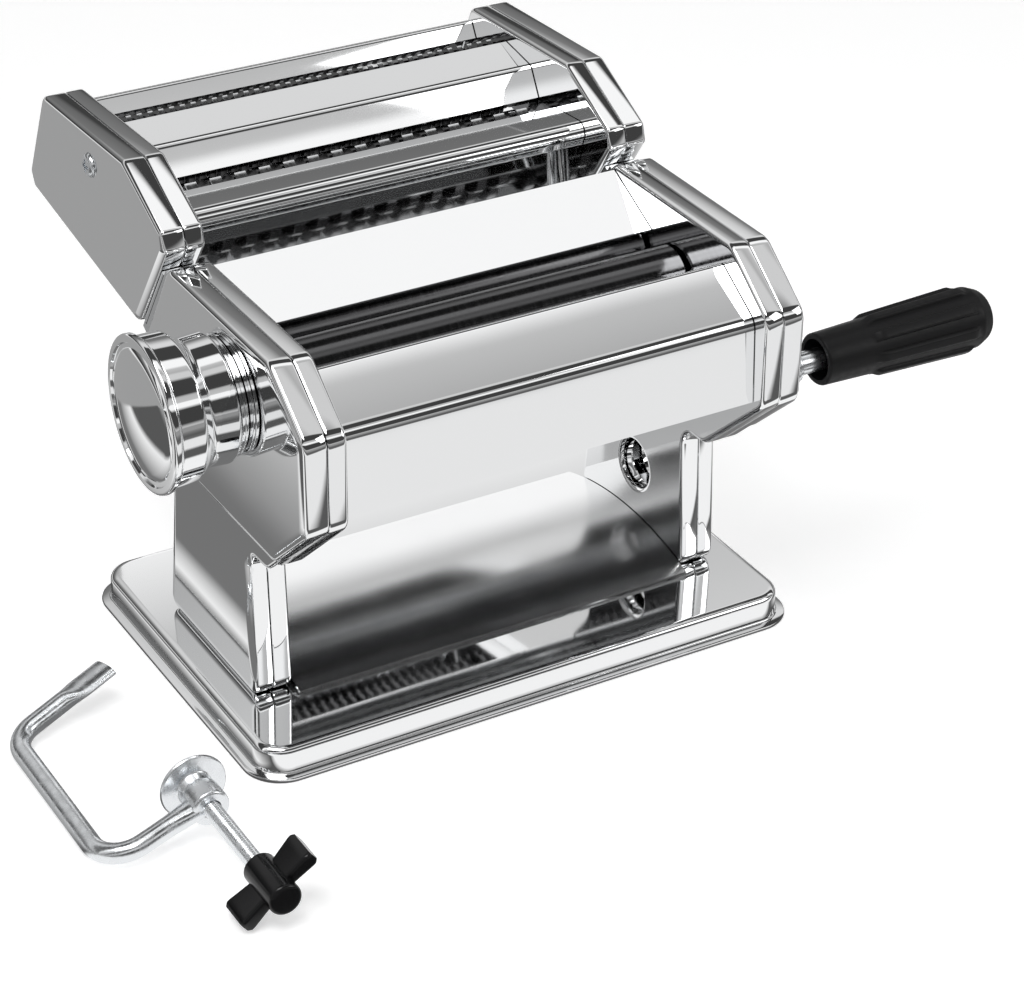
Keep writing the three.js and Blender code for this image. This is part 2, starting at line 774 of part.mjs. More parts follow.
function tieRod(y, z, half = SIDE.web) {
  const shoulder = half - GAP;
  const end = shoulder + TIE_ROD.stubLength;
  const { radius, stub } = TIE_ROD;
  const profile = [
    [-end, 0],
    [-end, stub],
    [-shoulder, stub],
    [-shoulder, radius],
    [shoulder, radius],
    [shoulder, stub],
    [end, stub],
    [end, 0],
  ];
  return turned(profile, y, z, SMALL_ROUND);
}

// The casing sheets
function hopperSheet() {
  const top = at(BODY.topRear - CASING.topRecess, BODY.top - CASING.topRecess);
  const foot = at(ROLLER.rearY - CASING.hopperReach, BODY.top - CASING.hopperDrop);
  return sheetAlong([top, foot], SHEET, CASING.bend, -sheetEnd, sheetEnd);
}
function frontSheet() {
  const points = [
    at(frontRollerY - ROLLER.radius, rollerHeight + CASING.mouthRise),
    at(topFront.x + CASING.lipIn, BODY.top - CASING.lipDrop),
    at(BODY.front + CASING.bendIn, BODY.top - CASING.bendDrop),
    at(BODY.front + CASING.footIn, frontLow.y - CASING.footDrop),
  ];
  return sheetAlong(points, SHEET, CASING.bend, -sheetEnd, sheetEnd);
}
function rearSheet() {
  const slope = rearHigh.clone().sub(topRear).normalize();
  const inward = at(slope.y, -slope.x).multiplyScalar(CASING.rearRecess);
  const top = topRear.clone().add(inward).addScaledVector(slope, CASING.rearRecess + 2 * SHEET);
  const foot = rearHigh.clone().add(inward);
  const lower = at(rearLow.x - CASING.rearRecess, rearLow.y);
  return sheetAlong([lower, foot, top], SHEET, CASING.bend, -sheetEnd, sheetEnd);
}
function chuteTray() {
  const half = (TRAY.rear - TRAY.front) / 2;
  const radius = (half * half + TRAY.rise * TRAY.rise) / (2 * TRAY.rise);
  const centre = at((TRAY.rear + TRAY.front) / 2, legFoot + TRAY.rise - radius);
  const reach = Math.asin(half / radius);
  const steps = SMALL_ROUND;
  const arc = (distance) =>
    Array.from({ length: steps + 1 }, (_, k) => {
      const angle = Math.PI / 2 - reach + (2 * reach * k) / steps;
      return at(centre.x + distance * Math.cos(angle), centre.y + distance * Math.sin(angle));
    });
  return slab([...arc(radius + SHEET), ...arc(radius).reverse()], -sheetEnd, sheetEnd);
}

// The knob, whose shaft comes out of the left cover
function knobBarrel() {
  const start = bodyFace + KNOB.ringGap;
  const stepAt = start + KNOB.innerLength;
  const outerAt = stepAt + KNOB.step;
  const end = outerAt + KNOB.outerLength;
  const floor = outerAt + KNOB.wall;
  const bore = CAM.shaft + GAP;
  return mirrored(
    turned(
      [
        [start, bore],
        [start, KNOB.inner],
        [stepAt, KNOB.inner],
        [outerAt, KNOB.outer],
        [end, KNOB.outer],
        [end, 0],
        [floor, 0],
        [floor, bore],
        [start, bore],
      ],
      frontRollerY,
      rollerHeight,
      FINE_ROUND,
    ),
  );
}
function knobCap() {
  const start = bodyFace + KNOB.ringGap + KNOB.innerLength + KNOB.step + KNOB.outerLength + GAP;
  const rimEnd = start + KNOB.rimWidth;
  const crown = Array.from({ length: KNOB.domeSteps }, (_, k) => {
    const share = 1 - (k + 1) / KNOB.domeSteps;
    return [rimEnd + KNOB.dome * (1 - share * share), KNOB.domeRing * share];
  });
  return mirrored(
    turned(
      [
        [start, 0],
        [start, KNOB.rim - GAP],
        [start + GAP, KNOB.rim],
        [rimEnd - GAP, KNOB.rim],
        [rimEnd, KNOB.rim - GAP],
        [rimEnd, KNOB.domeRing],
        ...crown,
      ],
      frontRollerY,
      rollerHeight,
      FINE_ROUND,
    ),
  );
}
function dialRing() {
  return mirrored(
    tube(
      bodyFace + GAP,
      bodyFace + KNOB.ringGap - GAP,
      CAM.shaft + GAP,
      KNOB.collar,
      frontRollerY,
      rollerHeight,
      FINE_ROUND,
    ),
  );
}

// The crank: a flat arm with a round stub that plugs into the drive shaft
const pinNeck = CRANK.pin - CRANK.pinStep;
function crankArm() {
  const half = CRANK.armHalfWidth;
  const stubFrom = driveEnd - DRIVE.socketDepth + GAP;
  const corners = [
    { at: at(driveY + half, driveHeight + half), radius: half - LEAST_RADIUS },
    { at: at(gripY - half, gripHeight + half), radius: half - LEAST_RADIUS },
    { at: at(gripY - half, gripHeight - half), radius: half - LEAST_RADIUS },
    { at: at(driveY + half, driveHeight - half), radius: half - LEAST_RADIUS },
  ];
  const bar = slab(outline(corners), armInner, armOuter);
  const stub = rod(stubFrom, (armInner + armOuter) / 2, DRIVE.socket - GAP, driveY, driveHeight);
  const eye = rod(armInner - OVERRUN, armOuter + OVERRUN, pinNeck + GAP, gripY, gripHeight);
  return cut(join(bar, stub), eye);
}
function crankPin() {
  const shoulder = armOuter + GAP;
  return turned(
    [
      [armInner, 0],
      [armInner, pinNeck],
      [shoulder, pinNeck],
      [shoulder, CRANK.pin],
      [pinEnd, CRANK.pin],
      [pinEnd, 0],
    ],
    gripY,
    gripHeight,
  );
}
function crankGrip() {
  const boreEnd = pinEnd + GAP;
  const bore = CRANK.pin + 2 * GAP;
  const ribEnd = gripEnd - GRIP.ribEndIn;
  return turned(
    [
      [boreEnd, 0],
      [boreEnd, bore],
      [gripStart + GRIP.mouthDepth, bore],
      [gripStart + GRIP.mouthDepth, GRIP.mouth - GRIP.mouthWall],
      [gripStart, GRIP.mouth - GRIP.mouthWall],
      [gripStart, GRIP.mouth],
      [gripStart + GRIP.throatIn, GRIP.throat],
      [gripStart + GRIP.ribIn, GRIP.rib],
      [ribEnd, GRIP.rib],
      [(ribEnd + gripEnd) / 2, (GRIP.rib + GRIP.cap) / 2],
      [gripEnd - GAP, GRIP.cap / 2],
      [gripEnd, 0],
    ],
    gripY,
    gripHeight,
    FINE_ROUND,
  );
}

// The cutter head
const cutterAxes = [
  { kind: "wide", middle: widePair, pitch: CUTTER.widePitch },
  { kind: "fine", middle: finePair, pitch: CUTTER.finePitch },
].flatMap(({ kind, middle, pitch }) => [
  { kind, end: "front", y: middle.x - cutterCentres / 2, z: middle.y, pitch, odd: false },
  { kind, end: "rear", y: middle.x + cutterCentres / 2, z: middle.y, pitch, odd: true },
]);

function cutter({ y, z, pitch, odd }) {
  const groove = CUTTER.radius - CUTTER.grooveDepth;
  const count = Math.floor((2 * rollerHalf) / pitch) - 1;
  const start = (-count * pitch) / 2 + (odd ? pitch / 2 : 0);
  const profile = [
    [-leftEnd, 0],
    [-leftEnd, CUTTER.journal],
    [-rollerHalf, CUTTER.journal],
    [-rollerHalf, groove],
  ];
  for (let k = 0; k < count; k += 1) {
    const middle = start + (k + 1 / 2) * pitch;
    const half = (BLADE_SHARE * pitch) / 2;
    profile.push([middle - pitch / 2, groove]);
    profile.push([middle - half, CUTTER.radius], [middle + half, CUTTER.radius]);
  }
  profile.push([start + count * pitch, groove]);
  profile.push([rollerHalf, groove], [rollerHalf, CUTTER.journal]);
  profile.push([journalEnd, CUTTER.journal], [journalEnd, 0]);
  return turned(profile, y, z, CUTTER.sides);
}

function cutterGear({ y, z, odd }) {
  const teeth = CUTTER.gearTeeth;
  const root = cutterCentres / 2 - CUTTER.gearBelow;
  const tip = cutterCentres / 2 + CUTTER.gearAbove;
  const phase = odd ? Math.PI + Math.PI / teeth : 0;
  return gear(teeth, root, tip, CUTTER.journal + GAP, gearFrom, gearTo, y, z, phase);
}

function headInner() {
  const { outer, inner } = pan(headCorners, SIDE.web, innerSeam, INNER_EDGE);
  const cuts = [
    ...cutterAxes.map(({ y, z }) => hole(CUTTER.journal + GAP, y, z, SMALL_ROUND)),
    ...headRodPlaces.map(({ y, z }) => hole(TIE_ROD.stub + GAP, y, z, SMALL_ROUND)),
  ];
  return cut(outer, inner, ...cuts);
}
function headCover(isRight) {
  const { outer, inner } = pan(headCorners, bodyFace, outerSeam, COVER_EDGE);
  const shell = cut(outer, inner);
  if (isRight) {
    const sockets = cutterAxes.filter(({ odd }) => !odd);
    return cut(shell, ...sockets.map(({ y, z }) => hole(CUTTER.socket, y, z, SMALL_ROUND)));
  }
  return cut(shell, hole(HEAD_SCREW.radius + GAP, headScrewY, headScrewHeight, SMALL_ROUND));
}
function headScrew() {
  const seat = bodyFace + GAP;
  const top = seat + HEAD_SCREW.headHeight;
  const end = seat - HEAD_SCREW.shank;
  const { radius, head } = HEAD_SCREW;
  const profile = [[end, 0], [end, radius], [seat, radius], [seat, head], [top, head], [top, 0]];
  return mirrored(turned(profile, headScrewY, headScrewHeight, SMALL_ROUND));
}
function headRearSheet() {
  const slope = headRear.clone().sub(headTopRear).normalize();
  const inward = at(slope.y, -slope.x).multiplyScalar(HEAD_SHEET.rearRecess);
  const lip = at(headTopRear.x - HEAD_SHEET.rearLipIn, headTopRear.y - HEAD_SHEET.rearLipDrop);
  const top = headTopRear.clone().add(inward).addScaledVector(slope, HEAD_SHEET.rearTopIn);
  const foot = headRear.clone().add(inward);
  return sheetAlong([foot, top, lip], SHEET, SHEET, -sheetEnd, sheetEnd);
}
function headRidgeSheet() {
  const points = [
    at(finePair.x - HEAD_SHEET.ridgeRearIn, nose.y + HEAD_SHEET.ridgeRearRise),
    at(widePair.x + HEAD_SHEET.ridgeOut, nose.y + HEAD_SHEET.ridgeRise),
    at(widePair.x + HEAD_SHEET.ridgeFootOut, nose.y + HEAD_SHEET.ridgeFootRise),
  ];
  return sheetAlong(points, SHEET, HEAD_SHEET.bend, -sheetEnd, sheetEnd);
}
function headLowerSheet() {
  const slope = headBottomFront.clone().sub(nose).normalize();
  const rear = at(widePair.x - HEAD_SHEET.lowerRearIn, nose.y + HEAD_SHEET.lowerRise);
  const lip = at(nose.x + HEAD_SHEET.lipOut, nose.y + HEAD_SHEET.lipRise);
  const foot = lip.clone().addScaledVector(slope, HEAD_SHEET.lowerFootDrop);
  foot.x -= HEAD_SHEET.lowerFootIn;
  const skirt = at(foot.x + HEAD_SHEET.skirtOut, foot.y - HEAD_SHEET.skirtDrop);
  return sheetAlong([rear, lip, foot, skirt], SHEET, HEAD_SHEET.bend, -sheetEnd, sheetEnd);
}

// Rails on the body's slanted rear edge, and the runners of the head that slide up them
const edgeWay = rearHigh.clone().sub(topRear).normalize();
const edgeOut = at(-edgeWay.y, edgeWay.x);
const slideDown = at(Math.sin(degToRad(HEAD.slideTilt)), -Math.cos(degToRad(HEAD.slideTilt)));
const onEdge = (along, out) =>
  topRear.clone().addScaledVector(edgeWay, along).addScaledVector(edgeOut, out);
const onSlide = (along, out) =>
  onEdge(RAIL.from, RAIL.rise).addScaledVector(slideDown, along - RAIL.from).addScaledVector(edgeOut, out);
function headRail() {
  const footEnd = RAIL.to + GAP + RAIL.foot;
  const points = [
    onEdge(RAIL.from, GAP),
    onSlide(RAIL.from, -GAP / 2),
    onSlide(RAIL.to + GAP, -GAP / 2),
    onEdge(RAIL.to + GAP, RAIL.footReach),
    onEdge(footEnd, RAIL.footReach),
    onEdge(footEnd, GAP),
  ];
  return slab(points, SIDE.web + RAIL.inset, legFace - RAIL.margin);
}
function headRunner() {
  const edge = headBottomFront.clone().sub(nose).normalize();
  const out = at(edge.y, -edge.x);
  const onHead = (point) => {
    const along = point.clone().sub(nose).dot(edge);
    return nose.clone().addScaledVector(edge, along).addScaledVector(out, GAP);
  };
  const low = onSlide(RAIL.to, GAP / 2);
  const high = onSlide(RAIL.from + RAIL.foot, GAP / 2);
  return slab([low, onHead(low), onHead(high), high], SIDE.web + RAIL.inset, legFace - RAIL.margin);
}

// The clamp lies on its spine and on its pad, tilted about the spine
const clampTilt = Math.asin((CLAMP.pad - CLAMP.rod) / CLAMP.reach);
const clampLower = CLAMP.upper - CLAMP.depth;
const bossY = clampLower + CLAMP.bossRise;
const screwEnd = bossY - CLAMP.screwSpan;
const knobEnd = screwEnd - CLAMP.knobSpan;
const padBack = bossY + CLAMP.bossHalf + CLAMP.padClearance + CLAMP.padHubLength;
const padFace = padBack + CLAMP.padThickness;
const layClamp = (geometry) =>
  geometry.rotateY(-clampTilt).translate(-baseHalf - CLAMP.apart, 0, CLAMP.rod);
function clampRod() {
  const { rod: round, tipWidth, tipThickness, tipLength } = CLAMP;
  const upper = at(0, CLAMP.upper);
  const lower = at(0, clampLower);
  const tip = at(CLAMP.reach + CLAMP.tipPast, CLAMP.upper + CLAMP.tipRise);
  const boss = at(CLAMP.reach, bossY);
  const tipWay = upper.clone().sub(tip).normalize();
  const bossWay = boss.clone().sub(lower).normalize();
  const flatEnd = tip.clone().addScaledVector(tipWay, tipLength);
  const roundFrom = flatEnd.clone().addScaledVector(tipWay, tipLength);
  const bends = [
    ...bendAt(upper, tip, lower, CLAMP.bend, CLAMP.bendSteps),
    ...bendAt(lower, upper, boss, CLAMP.bend, CLAMP.bendSteps),
  ];
  const roundTo = boss.clone().addScaledVector(bossWay, -CLAMP.boss - round);
  const line = [
    { point: tip, wide: tipWidth, thick: tipThickness },
    { point: flatEnd, wide: tipWidth, thick: tipThickness },
    ...[roundFrom, ...bends, roundTo].map((point) => ({ point, wide: round, thick: round })),
    { point: boss, wide: CLAMP.bossHalf - LEAST_RADIUS, thick: round },
  ];
  const rings = line.map(({ point, wide, thick }, i) => {
    const before = line[Math.max(i - 1, 0)].point;
    const after = line[Math.min(i + 1, line.length - 1)].point;
    const way = after.clone().sub(before).normalize();
    return Array.from({ length: SMALL_ROUND }, (_, k) => {
      const angle = (2 * Math.PI * k) / SMALL_ROUND;
      const across = wide * Math.cos(angle);
      return new THREE.Vector3(point.x - way.y * across, point.y + way.x * across, thick * Math.sin(angle));
    });
  });
  return solid(layClamp(loftGeometry(rings)));
}

// A turned piece of the clamp, about the screw's axis along Y; the profile is [y, radius] pairs
function clampTurned(profile, sides = ROUND) {
  const geometry = new THREE.LatheGeometry(profile.map(([y, radius]) => at(radius, y)), sides);
  return solid(layClamp(geometry.translate(CLAMP.reach, 0, 0)));
}
function clampFrame() {
  const front = bossY - CLAMP.bossHalf;
  const back = bossY + CLAMP.bossHalf;
  const boss = clampTurned([[front, 0], [front, CLAMP.boss], [back, CLAMP.boss], [back, 0]]);
  const bore = CLAMP.screw + GAP;
  const tapFrom = front - OVERRUN;
  const tapTo = back + OVERRUN;
  const tap = clampTurned([[tapFrom, 0], [tapFrom, bore], [tapTo, bore], [tapTo, 0]]);
  return cut(join(clampRod(), boss), tap);
}
function clampPad() {
  const hubEnd = padBack - CLAMP.padHubLength;
  const bore = CLAMP.screw + GAP;
  return clampTurned(
    [
      [padFace - CLAMP.padThickness / 2, 0],
      [padFace, CLAMP.pad - CLAMP.padThickness],
      [padFace - CLAMP.padThickness / 2, CLAMP.pad],
      [padBack, CLAMP.pad],
      [padBack - CLAMP.padThickness / 2, CLAMP.padHub],
      [hubEnd, CLAMP.padHub],
      [hubEnd, bore],
      [padBack, bore],
      [padBack, 0],
    ],
    FINE_ROUND,
  );
}
function clampScrew() {
  const tip = padBack - GAP;
  const end = screwEnd - CLAMP.hub;
  const { screw } = CLAMP;
  return clampTurned([[end, 0], [end, screw], [tip, screw], [tip, 0]], SMALL_ROUND);
}
function clampKnob() {
  const { hub, wingSpan, wingHalfThickness } = CLAMP;
  const wingFront = screwEnd - CLAMP.wingFrontIn;
  const wingBack = knobEnd + CLAMP.wingBackIn;
  const bore = CLAMP.screw + GAP;
  const floor = screwEnd - hub - GAP;
  const core = clampTurned([
    [knobEnd, 0],
    [knobEnd, hub],
    [screwEnd, hub],
    [screwEnd, bore],
    [floor, bore],
    [floor, 0],
  ]);
  const wings = new THREE.BoxGeometry(2 * wingSpan, wingFront - wingBack, 2 * wingHalfThickness);
  wings.rotateY(-degToRad(CLAMP.wingAngle) + clampTilt).translate(CLAMP.reach, (wingFront + wingBack) / 2, 0);
  const tapTo = wingFront + OVERRUN;
  const tap = clampTurned([[floor, 0], [floor, bore], [tapTo, bore], [tapTo, 0]]);
  return cut(join(core, solid(layClamp(wings))), tap);
}

add("base_plate", basePlate(), "chrome");
add("inner_plate_right", innerPlate(true), "chrome");
add("inner_plate_left", mirrored(innerPlate(false)), "chrome");
add("outer_cover_right", outerCover(true), "chrome");
add("outer_cover_left", mirrored(outerCover(false)), "chrome");
add("chute_tray", chuteTray(), "chrome");
add("hopper_sheet", hopperSheet(), "chrome");
add("front_sheet", frontSheet(), "chrome");
add("rear_sheet", rearSheet(), "chrome");
for (const { name, y, z } of tieRodPlaces) add(name, tieRod(y, z), "steel");
add("leg_screw_left_front", legScrew(-screwX, screwFront), "steel");
add("leg_screw_left_rear", legScrew(-screwX, screwRear), "steel");
add("leg_screw_right_front", legScrew(screwX, screwFront), "steel");
add("leg_screw_right_rear", legScrew(screwX, screwRear), "steel");
add("bush_rear_right", bush(ROLLER.journal, ROLLER.rearY, rollerHeight), "steel");
add("bush_rear_left", mirrored(bush(ROLLER.journal, ROLLER.rearY, rollerHeight)), "steel");
add("bush_drive", bush(DRIVE.shaft, driveY, driveHeight), "steel");
add("dial_ring", dialRing(), "chrome");
add("drive_shaft", driveShaft(), "steel");
add("roller_rear", roller(ROLLER.rearY), "steel");
add("roller_front", roller(frontRollerY), "steel");
const rearAxis = [ROLLER.rearY, rollerHeight];
const rearPhase = meshPhase(GEAR.teeth, PINION.teeth, 0, driveY, driveHeight, ...rearAxis);
const frontPhase = meshPhase(GEAR.teeth, GEAR.teeth, rearPhase, ...rearAxis, frontRollerY, rollerHeight);
const rollerGear = (y, phase) =>
  gear(GEAR.teeth, gearRoot, gearTip, ROLLER.journal + GAP, gearFrom, gearTo, y, rollerHeight, phase);
add("gear_rear", rollerGear(ROLLER.rearY, rearPhase), "steel");
add("gear_front", rollerGear(frontRollerY, frontPhase), "steel");
add("carriage_right", carriagePlate(), "steel");
add("carriage_left", carriageLeft(), "steel");
add("scraper_rear", scraper(ROLLER.rearY, 1), "nylon");
add("scraper_front", scraper(frontRollerY, -1), "nylon");
add("regulator_cam", regulatorCam(), "steel");
add("knob_barrel", knobBarrel(), "chrome");
add("knob_cap", knobCap(), "chrome");
add("crank_arm", crankArm(), "zinc");
add("crank_pin", crankPin(), "zinc");
add("crank_grip", crankGrip(), "plastic");
add("head_plate_right", headInner(), "chrome");
add("head_plate_left", mirrored(headInner()), "chrome");
add("head_cover_right", headCover(true), "chrome");
add("head_cover_left", mirrored(headCover(false)), "chrome");
add("head_rear_sheet", headRearSheet(), "chrome");
add("head_ridge_sheet", headRidgeSheet(), "chrome");
add("head_lower_sheet", headLowerSheet(), "chrome");
add("head_screw", headScrew(), "zinc");
for (const { name, y, z } of headRodPlaces) add(name, tieRod(y, z), "steel");
for (const axis of cutterAxes) {
  add(`${axis.kind}_cutter_${axis.end}`, cutter(axis), "steel");
  add(`${axis.kind}_gear_${axis.end}`, cutterGear(axis), "steel");
}
add("head_rail_right", headRail(), "steel");
add("head_rail_left", mirrored(headRail()), "steel");
add("head_runner_right", headRunner(), "steel");
add("head_runner_left", mirrored(headRunner()), "steel");
add("clamp_frame", clampFrame(), "zinc");
add("clamp_pad", clampPad(), "zinc");
add("clamp_screw", clampScrew(), "zinc");
add("clamp_knob", clampKnob(), "gloss");

// The origin is the middle of the whole thing, on the table
const box = new THREE.Box3().setFromObject(group);
const middle = box.getCenter(new THREE.Vector3());
group.position.set(-middle.x, -middle.y, -box.min.z);
group.updateMatrixWorld(true);

export default group;
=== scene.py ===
"""A hand cranked pasta machine in polished chrome with its table clamp, dressed around its frame."""

import json
import math
from types import SimpleNamespace as Sizes

import bmesh
import bpy
from mathutils import Matrix, Vector
from mathutils.geometry import tessellate_polygon

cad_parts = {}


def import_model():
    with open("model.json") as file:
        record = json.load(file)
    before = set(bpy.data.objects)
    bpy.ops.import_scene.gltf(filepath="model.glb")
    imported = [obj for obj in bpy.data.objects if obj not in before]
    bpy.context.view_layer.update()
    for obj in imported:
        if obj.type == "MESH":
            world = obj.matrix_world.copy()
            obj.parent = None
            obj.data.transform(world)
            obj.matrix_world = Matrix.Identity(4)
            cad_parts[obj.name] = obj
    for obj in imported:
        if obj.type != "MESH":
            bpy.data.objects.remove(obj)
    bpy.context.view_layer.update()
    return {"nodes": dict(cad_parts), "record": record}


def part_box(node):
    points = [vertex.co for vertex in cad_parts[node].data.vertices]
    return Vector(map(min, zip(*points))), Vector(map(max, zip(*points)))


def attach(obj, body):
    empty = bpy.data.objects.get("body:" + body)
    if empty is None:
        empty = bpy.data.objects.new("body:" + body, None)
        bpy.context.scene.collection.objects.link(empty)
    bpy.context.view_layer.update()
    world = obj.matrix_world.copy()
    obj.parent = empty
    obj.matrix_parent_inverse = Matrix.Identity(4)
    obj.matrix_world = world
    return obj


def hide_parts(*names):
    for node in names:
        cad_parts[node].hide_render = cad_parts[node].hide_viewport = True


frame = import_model()

# Lengths below are millimetres in the machine's own frame: the middle of the base, on the table
MM = 0.001
base_low, base_high = (Vector(corner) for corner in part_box("base_plate"))
SHIFT = Vector(((base_low.x + base_high.x) / 2, (base_low.y + base_high.y) / 2, base_low.z))

SHEET = 1.2
GAP = 0.3
# How far a sheet's cut edge bulges, and how a pan's folded edge rounds off, in shares of the sheet
CUT_SHARE = 0.3
FOLD_SHARES = (0.18, 0.12)
SIDE = Sizes(web=76.1, seam=83.0, leg_face=90.0, face=91.6)
INNER_SEAM = SIDE.seam - GAP / 2
COVER_SEAM = SIDE.seam + GAP / 2
INNER_EDGE = Sizes(wide=1.6, deep=1.6)
COVER_EDGE = Sizes(wide=3.5, deep=2.0)
# How far the leg's cover lies inside the deep cover where the two overlap
TUCK = 0.4
HOLE_ROLL = 1.6
BODY = Sizes(
    top=146.7, top_front=-56.5, top_rear=17.0, front=-79.5, front_high=129.2, front_low=97.0,
    chin=(-46.5, 67.0), cover_foot=75.0, rear=(44.0, 103.0), rear_low=(36.0, 79.0), corner=7.0, soft=10.0,
)
LEG = Sizes(
    front_top=(-33.4, 66.6), front_foot=-36.0, rear_top=(24.5, 64.0), rear_foot=32.0,
    crotch=6.0, rear_crotch=12.0, corner=5.0, hole_at=(-3.5, 37.6), hole=9.0, flange=5.0,
)
BASE = Sizes(
    half_length=104.6, half_depth=69.6, corner=14.0, height=10.8, lip=3.0, lip_thickness=1.5, lip_soft=0.6,
    lip_corner=0.18, wall=3.5, cove=0.7, cove_in=0.4, shoulder=2.4, top_in=0.5, lean=0.3,
    inner_shoulder=(0.8, 0.5), inner_top=1.8,
)
LEG_FOOT = BASE.height + GAP
TRAY = Sizes(front=-39.5, rear=39.5, rise=6.2)
ROLLER = Sizes(
    radius=12.0, half_width=75.0, soft=0.6, rear=2.8, height=120.7, gap=2.8, journal=4.0,
    left_end=82.6, right_end=86.8,
)
FRONT_ROLLER = ROLLER.rear - 2 * ROLLER.radius - ROLLER.gap
DRIVE = Sizes(at=(15.8, 95.9), end=92.4)
CASING = Sizes(
    recess=1.8, hopper_foot=(-9.3, 132.7), mouth=(-36.0, 130.0), lip=(-52.3, 138.7), lip_bend=2.2,
    bend=(-72.5, 126.1), bend_round=6.0, foot=(-74.0, 97.0), rear_recess=1.6, rear_bend=5.0,
)
DIAL = Sizes(
    width=3.4, radius=20.0, bore=6.1, notch=0.9, half_notch=0.2, back_step=0.5, front_step=0.3, soft=0.2,
)
BARREL = Sizes(
    bore=6.0, inner=21.5, inner_length=11.0, inner_soft=1.2, waist=1.5, waist_in=0.6, step=2.4,
    step_soft=2.0, outer=24.6, outer_length=8.4, outer_soft=0.8, land=2.0, lean=0.4, dish=1.0, wall=3.0,
)
CAP = Sizes(
    rim=26.0, width=2.7, back_soft=0.8, front_soft=1.2, land=2.6, lean=0.4, groove=0.7, groove_foot=0.6,
    dome=3.6, dome_radius=21.0,
)
CRANK = Sizes(
    arm=99.0, thickness=4.0, half=6.5, flat=0.1, edge=1.2, edge_soft=0.35, length=73.0, tilt=0.4,
    stub=3.3, stub_depth=13.7, stub_soft=0.6, stub_overlap=1.0,
)
PIN = Sizes(
    radius=4.0, end=177.0, soft=0.5, neck=2.5, clear=0.05, rivet=4.4, rivet_foot=4.8, rivet_height=0.9,
    collar=5.6, collar_width=1.6, collar_soft=0.4, collar_foot=0.3,
)
GRIP = Sizes(
    start=113.0, end=183.0, mouth=9.15, mouth_soft=0.8, wall=1.9, wall_lean=0.4, depth=7.0, bore=4.6,
    core_end=11.0, core_end_at=177.0, core_soft=3.0, blunt=2.6, blunt_soft=4.0, step=1.2,
    ribs=8, rib_at=132.5, rib_end=175.0, rib_edge=2.5, rib_height=1.25, rib_share=0.44, flank_share=0.09,
)
HEAD = Sizes(
    corners=[
        ((116.5, 169.0), 5.0), ((48.5, 171.5), 5.0), ((20.5, 157.5), 2.6), ((18.5, 151.0), 2.6),
        ((43.0, 115.0), 5.0), ((130.0, 129.0), 2.6), ((132.95, 135.0), 2.6),
    ],
    screw_at=(75.7, 159.3), screw_hole=3.0, socket=5.0, flange=2.4,
)
SCREW = Sizes(
    lift=0.1, shank=2.2, depth=8.8, radius=4.2, dome=1.7, top=1.75, arc=(0.3, 0.6, 0.9, 1.2, 1.4),
    roundness=0.7, cross=(2.3, 0.55), cross_soft=0.1, cross_floor=0.5, cross_top=3.0,
)
# Bright teeth along the near edge of each slot of the head, a painted highlight for the glint on the cutter
# rings' rims
GLINT_TEETH = Sizes(
    thickness=0.5, drop=0.5, tooth_share=0.45,
    fine=Sizes(long=2.6, rise=1.4), wide=Sizes(long=2.8, rise=1.5),
)
HEAD_SHEET = Sizes(
    rear_lip=(112.0, 158.5), rear_top=2.8, rear_bend=1.6, recess=1.6, ridge_rear=(89.9, 165.1),
    ridge=(72.5, 162.2), ridge_bend=3.0, ridge_foot=(66.8, 152.2), lower_rear=(55.1, 152.8),
    lip=(33.0, 154.4), foot_drop=10.0, foot_in=2.2, skirt=(3.5, -16.8), bend=4.0,
)
CUTTER = Sizes(
    radius=9.7, centres=19.0, groove=6.4, overlap=0.4, journal=3.0, soft=0.18, blade_share=0.43,
    wide=Sizes(middle=61.0, height=137.0, pitch=9.08), fine=Sizes(middle=101.0, height=145.5, pitch=4.0),
)
# The loose clamp: its rod's flattened tip, the widening into its boss, the screw, pad and wings
CLAMP = Sizes(spine=-164.4, reach=37.0, upper=-8.0, lower=-85.0, tip=(39.5, 4.2), bend=11.0, step=1.5)
ROD = Sizes(
    radius=3.4, flat=12.0, flat_fade=8.0, flat_wider=1.7, flat_thinner=1.5, neck=5.0, neck_fade=9.0,
    neck_wider=1.1,
)
BOSS = Sizes(at=-79.0, radius=6.4, half=4.6, soft=1.2)
SPINDLE = Sizes(radius=3.0, end=-117.0, pitch=1.0, thread=0.45)
PAD = Sizes(
    radius=11.5, face=-68.6, thickness=1.8, dish=(1.2, 4.5), dish_side=(0.4, 7.0), dish_soft=1.0,
    rim_in=0.8, rim_drop=0.9, rim_soft=0.6, back_in=0.5, back_soft=0.5, hub=5.0, hub_length=3.2,
    hub_flare=(0.4, 1.0), hub_soft=0.8,
)
WINGS = Sizes(
    end=-136.0, hub=5.5, end_soft=1.4, hub_soft=0.8, start=1.5, span=15.0, half=2.8, front=-119.0,
    back=-132.0, front_narrow=2.2, back_narrow=1.2, blunt=0.8, soft=1.2, angle=38.0, root_share=0.8,
    tall_shares=[1.0] * 11 + [0.93, 0.75],
)
# Sides of the round forms
SIDES = Sizes(grip=192, knob=96, roller=96, pad=64, hub=48, hole=48, pin=40, cutter=40, rod=32, spindle=24)
ARC_STEP = math.radians(7)
LEAST_RADIUS = 0.15
TINY = 1e-6
# Points this close, in metres, are one point
MERGE = 1e-7


# Outlines and profiles
def held(value):
    """A value held between 0 and 1."""
    return min(max(value, 0), 1)


def quarter(steps):
    """Sines and cosines of evenly spaced angles from none to a right angle."""
    angles = [math.pi / 2 * k / steps for k in range(steps + 1)]
    return [(math.sin(angle), math.cos(angle)) for angle in angles]


